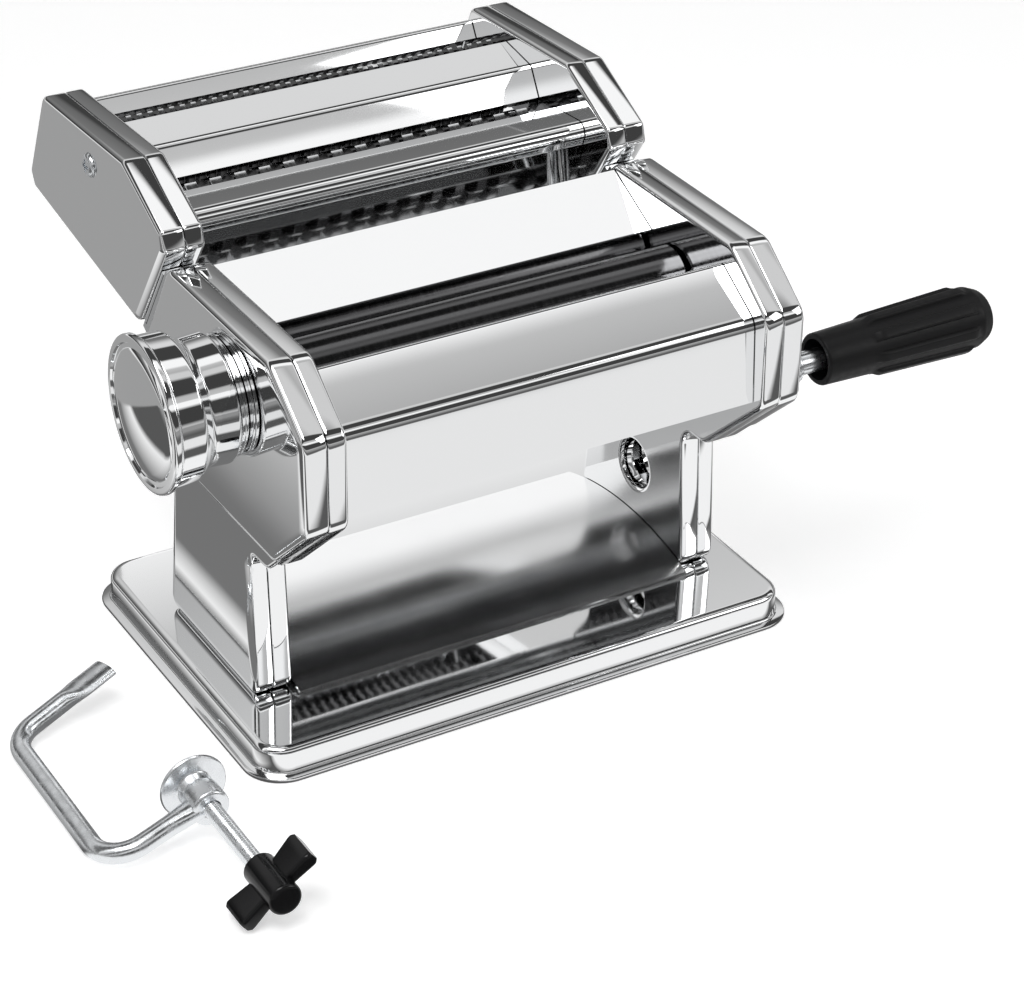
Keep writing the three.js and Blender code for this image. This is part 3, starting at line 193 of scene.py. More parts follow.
def arc(start, centre, turn):
    """Points from a start through a turn about a centre."""
    steps = max(1, round(abs(turn) / ARC_STEP))
    points = []
    for k in range(steps + 1):
        arm = start - centre
        arm.rotate(Matrix.Rotation(turn * k / steps, 2))
        points.append(centre + arm)
    return points


def fillet(points):
    """A line through (a, b, radius) points, with each corner rounded to its radius."""
    out = []
    for i, (a, b, radius) in enumerate(points):
        here = Vector((a, b))
        if radius <= 0:
            out.append(here)
            continue
        before = (Vector(points[i - 1][:2]) - here).normalized()
        after = (Vector(points[i + 1][:2]) - here).normalized()
        turn = math.pi - before.angle(after)
        start = here + before * radius * math.tan(turn / 2)
        side = 1 if before.cross(after) > 0 else -1
        centre = start + Vector((-side * before.y, side * before.x)) * radius
        out += arc(start, centre, -side * turn)
    return out


def outline(corners, inset=0.0):
    """A closed outline drawn inwards by an inset; corners are ((a, b), radius), counter-clockwise."""
    count = len(corners)
    lines = []
    for i in range(count):
        here = Vector(corners[i][0])
        along = (Vector(corners[(i + 1) % count][0]) - here).normalized()
        inward = Vector((-along.y, along.x))
        lines.append((here + inward * inset, along, inward))
    out = []
    for i, (_, corner_radius) in enumerate(corners):
        from_before, along_before, in_before = lines[i - 1]
        from_after, along_after, _ = lines[i]
        turn = math.atan2(along_before.cross(along_after), along_before.dot(along_after))
        reach = (from_after - from_before).cross(along_after) / along_before.cross(along_after)
        point = from_before + along_before * reach
        side = 1 if turn > 0 else -1
        radius = max(corner_radius - side * inset, LEAST_RADIUS)
        start = point - along_before * radius * math.tan(abs(turn) / 2)
        out += arc(start, start + in_before * side * radius, turn)
    return out


def box(low, high, radius):
    """The corners of a rectangle, counter-clockwise, each with a radius."""
    (left, bottom), (right, top) = low, high
    return [(place, radius) for place in ((right, top), (left, top), (left, bottom), (right, bottom))]


def circle(radius, sides, centre=(0, 0)):
    turns = [2 * math.pi * k / sides for k in range(sides)]
    return [Vector(centre) + radius * Vector((math.cos(a), math.sin(a))) for a in turns]


def heading(line, i):
    """The direction of a line at its point i."""
    return (line[min(i + 1, len(line) - 1)] - line[max(i - 1, 0)]).normalized()


def resampled(line, step):
    """A line's points about a step apart, without the last one."""
    out = []
    for p, q in zip(line, line[1:]):
        pieces = max(1, round((q - p).length / step))
        out += [p.lerp(q, k / pieces) for k in range(pieces)]
    return out


def along_x(y, z, way=1):
    return lambda along, a, b: (way * along, y + a, z + b)


def flat_x(points, x):
    return [(x, p.x, p.y) for p in points]


def linked_object(name, data):
    obj = bpy.data.objects.new(name, data)
    bpy.context.scene.collection.objects.link(obj)
    return obj


class Shape:
    """Points and faces of a closed shell, in millimetres of the machine's frame."""

    def __init__(self):
        self.points = []
        self.faces = []
        # Faces given the second finish, the near black steel that paints shade inside a sheet and below a
        # height
        self.inside = set()

    def ring(self, points):
        start = len(self.points)
        self.points.extend(Vector(p) for p in points)
        return list(range(start, len(self.points)))

    def bridge(self, rings):
        """Joins each ring to the next, which has as many points."""
        for one, two in zip(rings, rings[1:]):
            count = len(one)
            for k in range(count):
                after = (k + 1) % count
                self.faces.append((one[k], one[after], two[after], two[k]))

    def fan(self, ring, tip):
        """Closes a ring to one point."""
        for k in range(len(ring)):
            self.faces.append((ring[k], ring[(k + 1) % len(ring)], tip))

    def cap(self, ring, holes=()):
        if not holes:
            self.faces.append(tuple(ring))
            return
        loops = [ring, *holes]
        flat = [[self.points[i] for i in loop] for loop in loops]
        order = [i for loop in loops for i in loop]
        for triangle in tessellate_polygon(flat):
            self.faces.append(tuple(order[i] for i in triangle))

    def loft(self, rings):
        made = [self.ring(ring) for ring in rings]
        self.bridge(made)
        self.cap(made[0])
        self.cap(made[-1])
        return self

    def turn(self, profile, place, sides, closed=False):
        """Turns a profile of (along, radius) about an axis, where place puts (along, a, b) in the frame."""
        made = []
        for along, radius in profile:
            points = circle(radius, sides) if radius > TINY else [(0, 0)]
            made.append(self.ring([place(along, a, b) for a, b in points]))
        pairs = list(zip(made, made[1:]))
        if closed:
            pairs.append((made[-1], made[0]))
        for one, two in pairs:
            if len(one) == 1:
                one, two = two, one
            if len(two) == 1:
                self.fan(one, two[0])
            else:
                self.bridge([one, two])
        return self

    def object(self, name, material, body, node_name=None, slot=None, sharp=38, inner=None):
        mesh = bpy.data.meshes.new(name)
        mesh.from_pydata([SHIFT + p * MM for p in self.points], [], self.faces)
        for index in self.inside:
            mesh.polygons[index].material_index = 1
        work = bmesh.new()
        work.from_mesh(mesh)
        bmesh.ops.remove_doubles(work, verts=work.verts, dist=MERGE)
        bmesh.ops.recalc_face_normals(work, faces=work.faces)
        work.to_mesh(mesh)
        work.free()
        obj = linked_object(name, mesh)
        finish_piece(obj, material, sharp, inner)
        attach(obj, body)
        if node_name:
            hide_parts(node_name)
        return obj


def finish_piece(obj, material, sharp=38, inner=None):
    """Gives a piece its finish, and its inner faces a second finish, a near black steel that paints shade
    on them.
    """
    obj.data.materials.clear()
    obj.data.materials.append(material)
    if inner:
        obj.data.materials.append(inner)
    obj.data.shade_smooth()
    obj.data.set_sharp_from_angle(angle=math.radians(sharp))


# Materials
CHROME_COLOR = (0.92, 0.925, 0.93)
SHADER = "Principled BSDF"
# The part of a noise's values that is spread over a range
NOISE_RANGE = (0.3, 0.7)
# Grain of brushed steel, as waves, detail and stretch of a noise
BRUSHED = (900, 2.0, (1, 0.03, 0.03))


def node(made, kind, *sources, **settings):
    """A shader node with its inputs or options set by name; sources, sockets or nodes, feed its inputs."""
    added = made.node_tree.nodes.new(kind)
    for key, value in settings.items():
        if key in added.inputs:
            added.inputs[key].default_value = value
        else:
            setattr(added, key, value)
    for source, target in zip(sources, added.inputs):
        made.node_tree.links.new(getattr(source, "outputs", [source])[0], target)
    return added


def rescale(made, value, ends, new_ends=(0, 1)):
    """A value carried from one range to another and held at its ends."""
    scale = node(made, "ShaderNodeMapRange", value)
    for key, end in zip(("From Min", "From Max", "To Min", "To Max"), (*ends, *new_ends)):
        scale.inputs[key].default_value = end
    return scale.outputs["Result"]


def noise(made, waves, detail=3.0, stretch=(1, 1, 1)):
    """Noise over the piece's own place, in waves per metre, stretched along each axis."""
    place = node(made, "ShaderNodeTexCoord")
    mapping = node(made, "ShaderNodeMapping", place.outputs["Object"], Scale=[waves * s for s in stretch])
    return node(made, "ShaderNodeTexNoise", mapping, Scale=1.0, Detail=detail).outputs["Fac"]


def material(name, color, metallic, rough, grain, specular=0.5):
    """A finish whose roughness wanders over a range with a grain, which is its noise's settings."""
    made = bpy.data.materials.new(name)
    made.use_nodes = True
    shader = made.node_tree.nodes[SHADER]
    shader.inputs["Base Color"].default_value = (*color, 1)
    shader.inputs["Metallic"].default_value = metallic
    shader.inputs["Specular IOR Level"].default_value = specular
    wander = rescale(made, noise(made, *grain), NOISE_RANGE, rough)
    made.node_tree.links.new(wander, shader.inputs["Roughness"])
    return made


def bump(made, height, depth, strength):
    """Bumps of a depth in metres, from a noise."""
    added = node(made, "ShaderNodeBump", Strength=strength, Distance=depth)
    made.node_tree.links.new(height, added.inputs["Height"])
    made.node_tree.links.new(added.outputs["Normal"], made.node_tree.nodes[SHADER].inputs["Normal"])


# Chrome, and the softer chrome of the tray
CHROME = material("chrome", CHROME_COLOR, 1.0, rough=(0.03, 0.06), grain=(40,))
bump(CHROME, noise(CHROME, 18, 1.0), depth=0.0004, strength=0.25)
SOFT_CHROME = material("soft_chrome", CHROME_COLOR, 1.0, rough=(0.15, 0.2), grain=(40,))

# Brushed steel; steel darkened as painted shade for rollers and cutters, and a near black steel painted as
# the shade inside the sheets and deep in the cutters
STEEL = material("steel", (0.72, 0.73, 0.74), 1.0, rough=(0.1, 0.2), grain=BRUSHED)
bump(STEEL, noise(STEEL, 3000, 2.0, (1, 0.02, 0.02)), depth=0.00002, strength=0.3)
SHADED_STEEL = material("shaded_steel", (0.12, 0.12, 0.123), 1.0, rough=(0.1, 0.18), grain=BRUSHED)
DEEP_SHADE = material("deep_shade_steel", (0.025, 0.025, 0.026), 1.0, rough=(0.2, 0.4), grain=(300, 3.0, (0.05, 1, 1)))

# Zinc of the crank and clamp
ZINC = material("zinc", (0.86, 0.88, 0.9), 1.0, rough=(0.16, 0.34), grain=(260, 4.0))
bump(ZINC, noise(ZINC, 420, 4.0), depth=0.00012, strength=0.5)

# Brass of the bushes and nylon of the scrapers
BRASS = material("brass", (0.72, 0.58, 0.33), 1.0, rough=(0.18, 0.32), grain=(700, 2.0))
NYLON = material("nylon", (0.03, 0.03, 0.032), 0.0, rough=(0.42, 0.58), grain=(300,))

# Black plastic, matt on the grip and glossy on the clamp's knob
PLASTIC = material(
    "black_plastic", (0.007, 0.007, 0.0075), 0.0, rough=(0.36, 0.5), grain=(500, 4.0), specular=0.25,
)
bump(PLASTIC, noise(PLASTIC, 2400), depth=0.00004, strength=0.5)
GLOSS = material(
    "gloss_plastic", (0.005, 0.005, 0.0055), 0.0, rough=(0.1, 0.2), grain=(160,), specular=0.35,
)
bump(GLOSS, noise(GLOSS, 120, 2.0), depth=0.0001, strength=0.3)


# The two sides: pressed pans with a rounded edge
def flange(radius, depth, face, way):
    """A hole's rolled edge as (radius, x), from the face to its depth and back inside."""
    profile = [(radius + HOLE_ROLL + GAP, face)]
    for sine, cosine in quarter(4):
        profile.append((radius + HOLE_ROLL * (1 - sine), face + way * HOLE_ROLL * (1 - cosine)))
    inside = radius + SHEET
    return profile + [
        (radius, face + way * depth), (inside, face + way * depth),
        (inside, face + way * (SHEET + HOLE_ROLL / 2)), (inside + HOLE_ROLL / 2, face + way * SHEET),
    ]


def pan(shape, side, corners, face, seam, edge, holes=()):
    """A thin pan from its face round its edge to the seam and back; holes are (at, radius, depth)."""
    way = 1 if seam > face else -1

    def edge_rings(depth):
        wide, deep = edge.wide - depth, edge.deep - depth
        rings = [(edge.wide + GAP, face + way * depth)]
        for sine, cosine in reversed(quarter(7)):
            rings.append((depth + wide * (1 - cosine), face + way * (depth + deep * (1 - sine))))
        return rings

    half_sheet = SHEET / 2
    fold_in, fold_drop = (share * SHEET for share in FOLD_SHARES)
    outer = edge_rings(0)
    outer += [(0, seam - way * half_sheet), (fold_in, seam - way * fold_drop), (half_sheet, seam)]
    inner = edge_rings(SHEET) + [(SHEET, seam - way * half_sheet)]
    made = [shape.ring(flat_x(outline(corners, inset), side * x)) for inset, x in outer + inner[::-1]]
    shape.bridge(made)
    outer_loops = []
    inner_loops = []
    for at, radius, depth in holes:
        profile = flange(radius, depth, face, way)
        rings = [shape.ring(flat_x(circle(r, SIDES.hole, at), side * x)) for r, x in profile]
        shape.bridge(rings)
        outer_loops.append(rings[0])
        inner_loops.append(rings[-1])
    shape.cap(made[0], outer_loops)
    shape.cap(made[-1], inner_loops)
    return shape


def body_top(tuck=0.0):
    """The top and front corners of a side, drawn in by a tuck."""
    high = BODY.top - tuck
    front = BODY.front + tuck
    return [
        ((BODY.top_rear - tuck, high), BODY.corner), ((BODY.top_front + tuck, high), BODY.corner),
        ((front, BODY.front_high), BODY.corner), ((front, BODY.front_low), BODY.corner),
    ]


def boot(tuck=0.0):
    """The outline of a side with its leg."""
    return [
        *body_top(tuck), (BODY.chin, BODY.corner), (LEG.front_top, LEG.crotch),
        ((LEG.front_foot, LEG_FOOT), LEG.corner), ((LEG.rear_foot, LEG_FOOT), LEG.corner),
        (LEG.rear_top, LEG.rear_crotch), (BODY.rear_low, BODY.soft),
        ((BODY.rear[0] - tuck, BODY.rear[1]), BODY.corner),
    ]


def deep_part():
    """The outline of a side without its leg, cut off level below the chin's start."""
    share = (BODY.front_low - BODY.cover_foot) / (BODY.front_low - BODY.chin[1])
    front = BODY.front + (BODY.chin[0] - BODY.front) * share
    return [
        *body_top(), ((front, BODY.cover_foot), BODY.corner),
        ((BODY.rear_low[0], BODY.cover_foot), BODY.corner), (BODY.rear, BODY.corner),
    ]


def side_plates():
    """Each side is an inner plate and a cover, with the clamp's hole in all but the left cover."""
    hole = (LEG.hole_at, LEG.hole, LEG.flange)
    for side, name in ((1, "right"), (-1, "left")):
        inner = pan(Shape(), side, boot(), SIDE.web, INNER_SEAM, INNER_EDGE, [hole])
        inner.object(f"plate_{name}", CHROME, "frame", f"inner_plate_{name}", "chrome")
        cover_holes = [hole] if side > 0 else []
        cover = pan(Shape(), side, boot(TUCK), SIDE.leg_face, COVER_SEAM, COVER_EDGE, cover_holes)
        pan(cover, side, deep_part(), SIDE.face, COVER_SEAM, COVER_EDGE)
        cover.object(f"cover_{name}", CHROME, "frame", f"outer_cover_{name}", "chrome")


# The pressed base, a shell open underneath
def base_piece():
    length, depth = BASE.half_length, BASE.half_depth
    corners = box((-length, -depth), (length, depth), BASE.corner)
    top = BASE.height
    lip = BASE.lip_thickness
    profile = [(BASE.wall + BASE.shoulder + BASE.top_in, top)]
    for sine, cosine in quarter(6):
        profile.append((BASE.wall + BASE.shoulder * (1 - sine), top - BASE.shoulder * (1 - cosine)))
    for sine, cosine in quarter(4):
        profile.append((BASE.lip - BASE.cove_in + BASE.cove * cosine, lip + BASE.cove * (1 - sine)))
    profile += [(BASE.lip_soft, lip), (BASE.lip_corner, lip - BASE.lip_corner), (0, lip / 2)]
    profile += [(BASE.lip_corner, BASE.lip_corner), (BASE.lip_soft, 0), (BASE.lip + SHEET, 0)]
    inside = BASE.wall + SHEET
    soft_in, soft_drop = BASE.inner_shoulder
    profile += [(BASE.lip + SHEET + BASE.lean, lip), (inside, top - BASE.shoulder)]
    profile += [(inside + soft_in, top - SHEET - soft_drop), (inside + BASE.inner_top, top - SHEET)]
    rings = [[(p.x, p.y, z) for p in outline(corners, inset)] for inset, z in profile]
    Shape().loft(rings).object("base", CHROME, "frame", "base_plate", "chrome")


# Sheets bent along the machine
def sheet(name, body, node_name, points, turned_in=False, shade_below=0.0, finish=CHROME):
    """A bent sheet through (y, z, radius) points, as thick as the metal, painted near black inside and
    below a height as shade.
    """
    half_width = SIDE.web - GAP
    thickness = -SHEET if turned_in else SHEET
    line = fillet(points)
    side = []
    for i in range(len(line)):
        along = heading(line, i)
        side.append(Vector((-along.y, along.x)) * thickness)
    start = (line[0] - line[1]).normalized() * SHEET * CUT_SHARE
    end = (line[-1] - line[-2]).normalized() * SHEET * CUT_SHARE
    back = [p + s for p, s in zip(line, side)]
    loop = [line[0] + side[0] / 2 + start, *line, line[-1] + side[-1] / 2 + end, *back[::-1]]
    shape = Shape().loft([flat_x(loop, x) for x in (-half_width, half_width)])
    shape.inside.update(range(len(line) + 2, len(loop) - 1))
    shape.inside.update(k for k, p in enumerate(line, 1) if p.y < shade_below)
    shape.object(name, finish, body, node_name, "chrome", inner=DEEP_SHADE)


def casing_sheets():
    top = Vector((BODY.top_rear, BODY.top))
    hopper_top = (top.x - CASING.recess, top.y - CASING.recess, 0)
    sheet("hopper", "frame", "hopper_sheet", [hopper_top, (*CASING.hopper_foot, 0)])
    sheet("front_casing", "frame", "front_sheet", [
        (*CASING.mouth, 0), (*CASING.lip, CASING.lip_bend),
        (*CASING.bend, CASING.bend_round), (*CASING.foot, 0),
    ])
    rear = Vector(BODY.rear)
    slope = (rear - top).normalized()
    inward = Vector((slope.y, -slope.x)) * CASING.rear_recess
    start = top + inward + slope * (CASING.rear_recess + 2 * SHEET)
    foot = rear + inward
    lower = Vector(BODY.rear_low) - Vector((CASING.rear_recess, 0))
    sheet("rear_casing", "frame", "rear_sheet", [(*lower, 0), (*foot, CASING.rear_bend), (*start, 0)])


def tray_sheet():
    """A shallow arc that rises between its front and rear edge."""
    half = (TRAY.rear - TRAY.front) / 2
    radius = (half**2 + TRAY.rise**2) / (2 * TRAY.rise)
    middle = Vector(((TRAY.rear + TRAY.front) / 2, LEG_FOOT + TRAY.rise - radius))
    reach = math.asin(half / radius)
    steps = 24
    angles = [math.pi / 2 - reach + 2 * reach * k / steps for k in range(steps + 1)]
    points = [(*(middle + radius * Vector((math.cos(a), math.sin(a)))), 0) for a in angles]
    sheet("tray", "frame", "chute_tray", points, turned_in=True, finish=SOFT_CHROME)


# Rollers and cutters
def rollers():
    width, radius, soft = ROLLER.half_width, ROLLER.radius, ROLLER.soft
    left, right, journal = -ROLLER.left_end, ROLLER.right_end, ROLLER.journal
    profile = [
        (left, 0), (left, journal), (-width, journal), (-width, radius - soft), (-width + soft, radius),
        (width - soft, radius), (width, radius - soft), (width, journal), (right, journal), (right, 0),
    ]
    # The rollers' steel is darkened, painted shade
    for end, y in (("rear", ROLLER.rear), ("front", FRONT_ROLLER)):
        shape = Shape().turn(profile, along_x(y, ROLLER.height), SIDES.roller)
        shape.object(f"smooth_roller_{end}", SHADED_STEEL, f"{end}_roller", f"roller_{end}", "steel")


def ring_count(sizes):
    """How many rings a cutter has."""
    return math.floor(2 * ROLLER.half_width / sizes.pitch) - 1


def cutter(name, body, sizes, side):
    """A near black core with rings of darkened steel, both painted shade; the core carries the shaft's
    ends.
    """
    place = along_x(sizes.middle + side * CUTTER.centres / 2, sizes.height)
    width = ROLLER.half_width
    left, right = -ROLLER.left_end, ROLLER.right_end
    core = [
        (left, 0), (left, CUTTER.journal), (-width, CUTTER.journal), (-width, CUTTER.groove),
        (width, CUTTER.groove), (width, CUTTER.journal), (right, CUTTER.journal), (right, 0),
    ]
    Shape().turn(core, place, SIDES.cutter).object(f"core_{name}", DEEP_SHADE, body, name, "steel")
    count = ring_count(sizes)
    start = -count * sizes.pitch / 2 + (sizes.pitch / 2 if side > 0 else 0)
    half = CUTTER.blade_share * sizes.pitch / 2
    top, deep = CUTTER.radius, CUTTER.groove - CUTTER.overlap
    shoulder = top - CUTTER.soft
    rings = Shape()
    for k in range(count):
        middle = start + (k + 0.5) * sizes.pitch
        near, far = middle - half, middle + half
        ring = [
            (near, deep), (near, shoulder), (near + CUTTER.soft, top),
            (far - CUTTER.soft, top), (far, shoulder), (far, deep),
        ]
        rings.turn(ring, place, SIDES.cutter, closed=True)
    rings.object(f"rings_{name}", SHADED_STEEL, body, slot="steel")


def cutters():
    for kind, sizes in (("wide", CUTTER.wide), ("fine", CUTTER.fine)):
        for end, side in (("front", -1), ("rear", 1)):
            cutter(f"{kind}_cutter_{end}", f"{kind}_{end}", sizes, side)


# The knob, which goes out to the left
barrel_start = SIDE.face + DIAL.width
barrel_step = barrel_start + BARREL.inner_length + BARREL.step
barrel_end = barrel_step + BARREL.outer_length
on_knob = along_x(FRONT_ROLLER, ROLLER.height, -1)


def knob_barrel():
    start, step, end = barrel_start, barrel_step, barrel_end
    waist = step - BARREL.step - BARREL.waist
    land = BARREL.outer - BARREL.land
    dish = end - BARREL.dish
    wall = step + BARREL.wall
    profile = fillet([
        (start, BARREL.bore, 0), (start, BARREL.inner, BARREL.inner_soft),
        (waist, BARREL.inner - BARREL.waist_in, BARREL.step_soft), (step, BARREL.outer, BARREL.step_soft),
        (end, BARREL.outer, BARREL.outer_soft), (end, land, 0), (dish, land - BARREL.lean, 0), (dish, 0, 0),
    ])
    profile += [(wall, 0), (wall, BARREL.bore)]
    shape = Shape().turn(profile, on_knob, SIDES.knob, closed=True)
    shape.object("barrel", CHROME, "knob", "knob_barrel", "chrome")


def knob_cap():
    """A rim, a groove and a shallow dome."""
    face = barrel_end + GAP
    rim_end = face + CAP.width
    land = CAP.rim - CAP.land
    groove = rim_end - CAP.groove
    profile = fillet([
        (face, 0, 0), (face, CAP.rim, CAP.back_soft), (rim_end, CAP.rim, CAP.front_soft),
        (rim_end, land, 0), (groove, land - CAP.lean, 0), (groove, CAP.dome_radius + CAP.groove_foot, 0),
    ])
    steps = 10
    for k in range(steps, -1, -1):
        share = k / steps
        profile.append((rim_end + CAP.dome * (1 - share**2), CAP.dome_radius * share))
    Shape().turn(profile, on_knob, SIDES.knob).object("cap", CHROME, "knob", "knob_cap", "chrome")


def dial_ring():
    """A ring with a notch round its middle and a step at each end."""
    back, front = SIDE.face + GAP, SIDE.face + DIAL.width - GAP
    middle = (back + front) / 2
    top, soft, half = DIAL.radius, DIAL.soft, DIAL.half_notch
    low = top - DIAL.notch
    step = back + DIAL.back_step
    profile = fillet([
        (back, DIAL.bore, 0), (back, low, 0), (step, low, 0), (step, top, soft), (middle - half, top, soft),
        (middle, low, 0), (middle + half, top, soft), (front - DIAL.front_step, top, soft), (front, low, 0),
        (front, DIAL.bore, 0),
    ])
    shape = Shape().turn(profile, on_knob, SIDES.knob, closed=True)
    shape.object("dial", CHROME, "frame", "dial_ring", "chrome")


# The crank
tilt = math.radians(CRANK.tilt)
GRIP_AT = (DRIVE.at[0] - CRANK.length * math.cos(tilt), DRIVE.at[1] - CRANK.length * math.sin(tilt))
arm_end = CRANK.arm + CRANK.thickness


def crank_arm():
    """A flat bar with round ends, and the stub that goes into the socket."""
    low, high = CRANK.arm, arm_end
    half = CRANK.half
    radius = half - CRANK.flat
    (rear, height), (front, grip_height) = DRIVE.at, GRIP_AT
    corners = [
        ((rear + half, height + half), radius), ((front - half, grip_height + half), radius),
        ((front - half, grip_height - half), radius), ((rear + half, height - half), radius),
    ]
    edge, soft = CRANK.edge, CRANK.edge_soft
    rings = [(edge, low), (soft, low), (0, low + soft), (0, high - soft), (soft, high), (edge, high)]
    arm = Shape().loft([flat_x(outline(corners, inset), x) for inset, x in rings])
    start, end = DRIVE.end - CRANK.stub_depth, low + CRANK.stub_overlap
    stub = [(start, 0, 0), (start, CRANK.stub, CRANK.stub_soft), (end, CRANK.stub, 0), (end, 0, 0)]
    arm.turn(fillet(stub), along_x(*DRIVE.at), SIDES.rod)
    arm.object("arm", ZINC, "crank", "crank_arm", "zinc")


def crank_pin():
    """A riveted foot behind the arm, a collar in front of it and the pin that the grip turns on."""
    rivet, foot = CRANK.arm - PIN.rivet_height, CRANK.arm - PIN.clear
    start, end, soft = arm_end + GAP, arm_end + PIN.collar_width, PIN.collar_soft
    profile = fillet([
        (rivet, 0, 0), (rivet, PIN.rivet, PIN.rivet_height), (foot, PIN.rivet_foot, 0), (foot, PIN.neck, 0),
        (start, PIN.neck, 0), (start, PIN.collar, soft), (end, PIN.collar, soft),
        (end, PIN.radius, PIN.collar_foot), (PIN.end, PIN.radius, PIN.soft), (PIN.end, 0, 0),
    ])
    shape = Shape().turn(profile, along_x(*GRIP_AT), SIDES.pin)
    shape.object("pin", ZINC, "crank", "crank_pin", "zinc")


def grip_piece():
    """A tapered grip with a hollow mouth; its straight ribs end short of the mouth and the blunt end."""
    wall = GRIP.mouth - GRIP.wall
    outside = fillet([
        (GRIP.start, wall, 0), (GRIP.start, GRIP.mouth, GRIP.mouth_soft),
        (GRIP.core_end_at, GRIP.core_end, GRIP.core_soft),
        (GRIP.end, GRIP.core_end - GRIP.blunt, GRIP.blunt_soft), (GRIP.end, 0, 0),
    ])
    place = along_x(*GRIP_AT)
    shape = Shape()
    rings = []
    for p in resampled(outside, GRIP.step):
        rise = held((p.x - GRIP.rib_at) / GRIP.rib_edge) * held((GRIP.rib_end - p.x) / GRIP.rib_edge)
        ring = []
        for k, (a, b) in enumerate(circle(1, SIDES.grip)):
            turn = GRIP.ribs * k / SIDES.grip
            from_middle = abs(turn - round(turn)) * 2
            flank = held((GRIP.rib_share - from_middle) / GRIP.flank_share + 0.5)
            radius = p.y + GRIP.rib_height * rise * flank
            ring.append(place(p.x, radius * a, radius * b))
        rings.append(shape.ring(ring))
    shape.bridge(rings)
    shape.fan(rings[-1], shape.ring([(GRIP.end, *GRIP_AT)])[0])
    floor_at, bore_end = GRIP.start + GRIP.depth, PIN.end + GAP
    inside = [
        (GRIP.start, wall), (floor_at, wall - GRIP.wall_lean), (floor_at, GRIP.bore), (bore_end, GRIP.bore),
        (bore_end, 0),
    ]
    shape.turn(inside, place, SIDES.grip)
    shape.object("grip", PLASTIC, "grip", "crank_grip", "black_plastic", sharp=50)


# The cutter head
def head_sides():
    """The head's plates and covers; the left cover holds the screw, the right one the crank's sockets."""
    sockets = [(sizes.middle - CUTTER.centres / 2, sizes.height) for sizes in (CUTTER.wide, CUTTER.fine)]
    for side, name in ((1, "right"), (-1, "left")):
        plate = pan(Shape(), side, HEAD.corners, SIDE.web, INNER_SEAM, INNER_EDGE)
        plate.object(f"head_inner_{name}", CHROME, "cutter_head", f"head_plate_{name}", "chrome")
        holes = [(at, HEAD.socket, HEAD.flange) for at in sockets]
        if side < 0:
            holes = [(HEAD.screw_at, HEAD.screw_hole, HEAD.flange)]
        cover = pan(Shape(), side, HEAD.corners, SIDE.face, COVER_SEAM, COVER_EDGE, holes)
        cover.object(f"head_outer_{name}", CHROME, "cutter_head", f"head_cover_{name}", "chrome")


def head_sheets():
    top_corner, _, _, nose, front_foot, _, rear_foot = (Vector(place) for place, _ in HEAD.corners)
    slope = (rear_foot - top_corner).normalized()
    inward = Vector((slope.y, -slope.x)) * HEAD_SHEET.recess
    top = top_corner + inward + slope * HEAD_SHEET.rear_top
    sheet("head_rear", "cutter_head", "head_rear_sheet", [
        (*(rear_foot + inward), 0), (*top, HEAD_SHEET.rear_bend), (*HEAD_SHEET.rear_lip, 0),
    ])
    sheet("head_ridge", "cutter_head", "head_ridge_sheet", [
        (*HEAD_SHEET.ridge_rear, 0), (*HEAD_SHEET.ridge, HEAD_SHEET.ridge_bend),
        (*HEAD_SHEET.ridge_foot, 0),
    ])
    glint_teeth("fine", HEAD_SHEET.ridge_rear)
    glint_teeth("wide", HEAD_SHEET.lower_rear)
    down = (front_foot - nose).normalized()
    foot = Vector(HEAD_SHEET.lip) + down * HEAD_SHEET.foot_drop - Vector((HEAD_SHEET.foot_in, 0))
    skirt = foot + Vector(HEAD_SHEET.skirt)
    bend = HEAD_SHEET.bend
    lower = [(*HEAD_SHEET.lower_rear, 0), (*HEAD_SHEET.lip, bend), (*foot, bend), (*skirt, 0)]
    # Below its foot the sheet turns in as a skirt, painted near black below the bend as the shade under the
    # head
    sheet("head_lower", "cutter_head", "head_lower_sheet", lower, shade_below=foot.y + bend)


def glint_teeth(kind, edge):
    """A row of bright steel teeth below the near edge of a slot, one for each ring of its cutters: a
    painted highlight for the glint on the rings' rims.
    """
    sizes = getattr(CUTTER, kind)
    tooth = getattr(GLINT_TEETH, kind)
    start = Vector(edge) - Vector((0, GLINT_TEETH.drop))
    end = start + Vector((tooth.long, tooth.rise))
    thick = Vector((0, GLINT_TEETH.thickness))
    root = start - Vector((tooth.long / 2, 0))
    loop = [root, start, end, end - thick, start - thick, root - thick]
    half = GLINT_TEETH.tooth_share * sizes.pitch / 2
    count = ring_count(sizes)
    shape = Shape()
    for k in range(count):
        middle = (k - (count - 1) / 2) * sizes.pitch
        shape.loft([flat_x(loop, x) for x in (middle - half, middle + half)])
    shape.object(f"{kind}_comb", STEEL, "cutter_head", slot="steel")


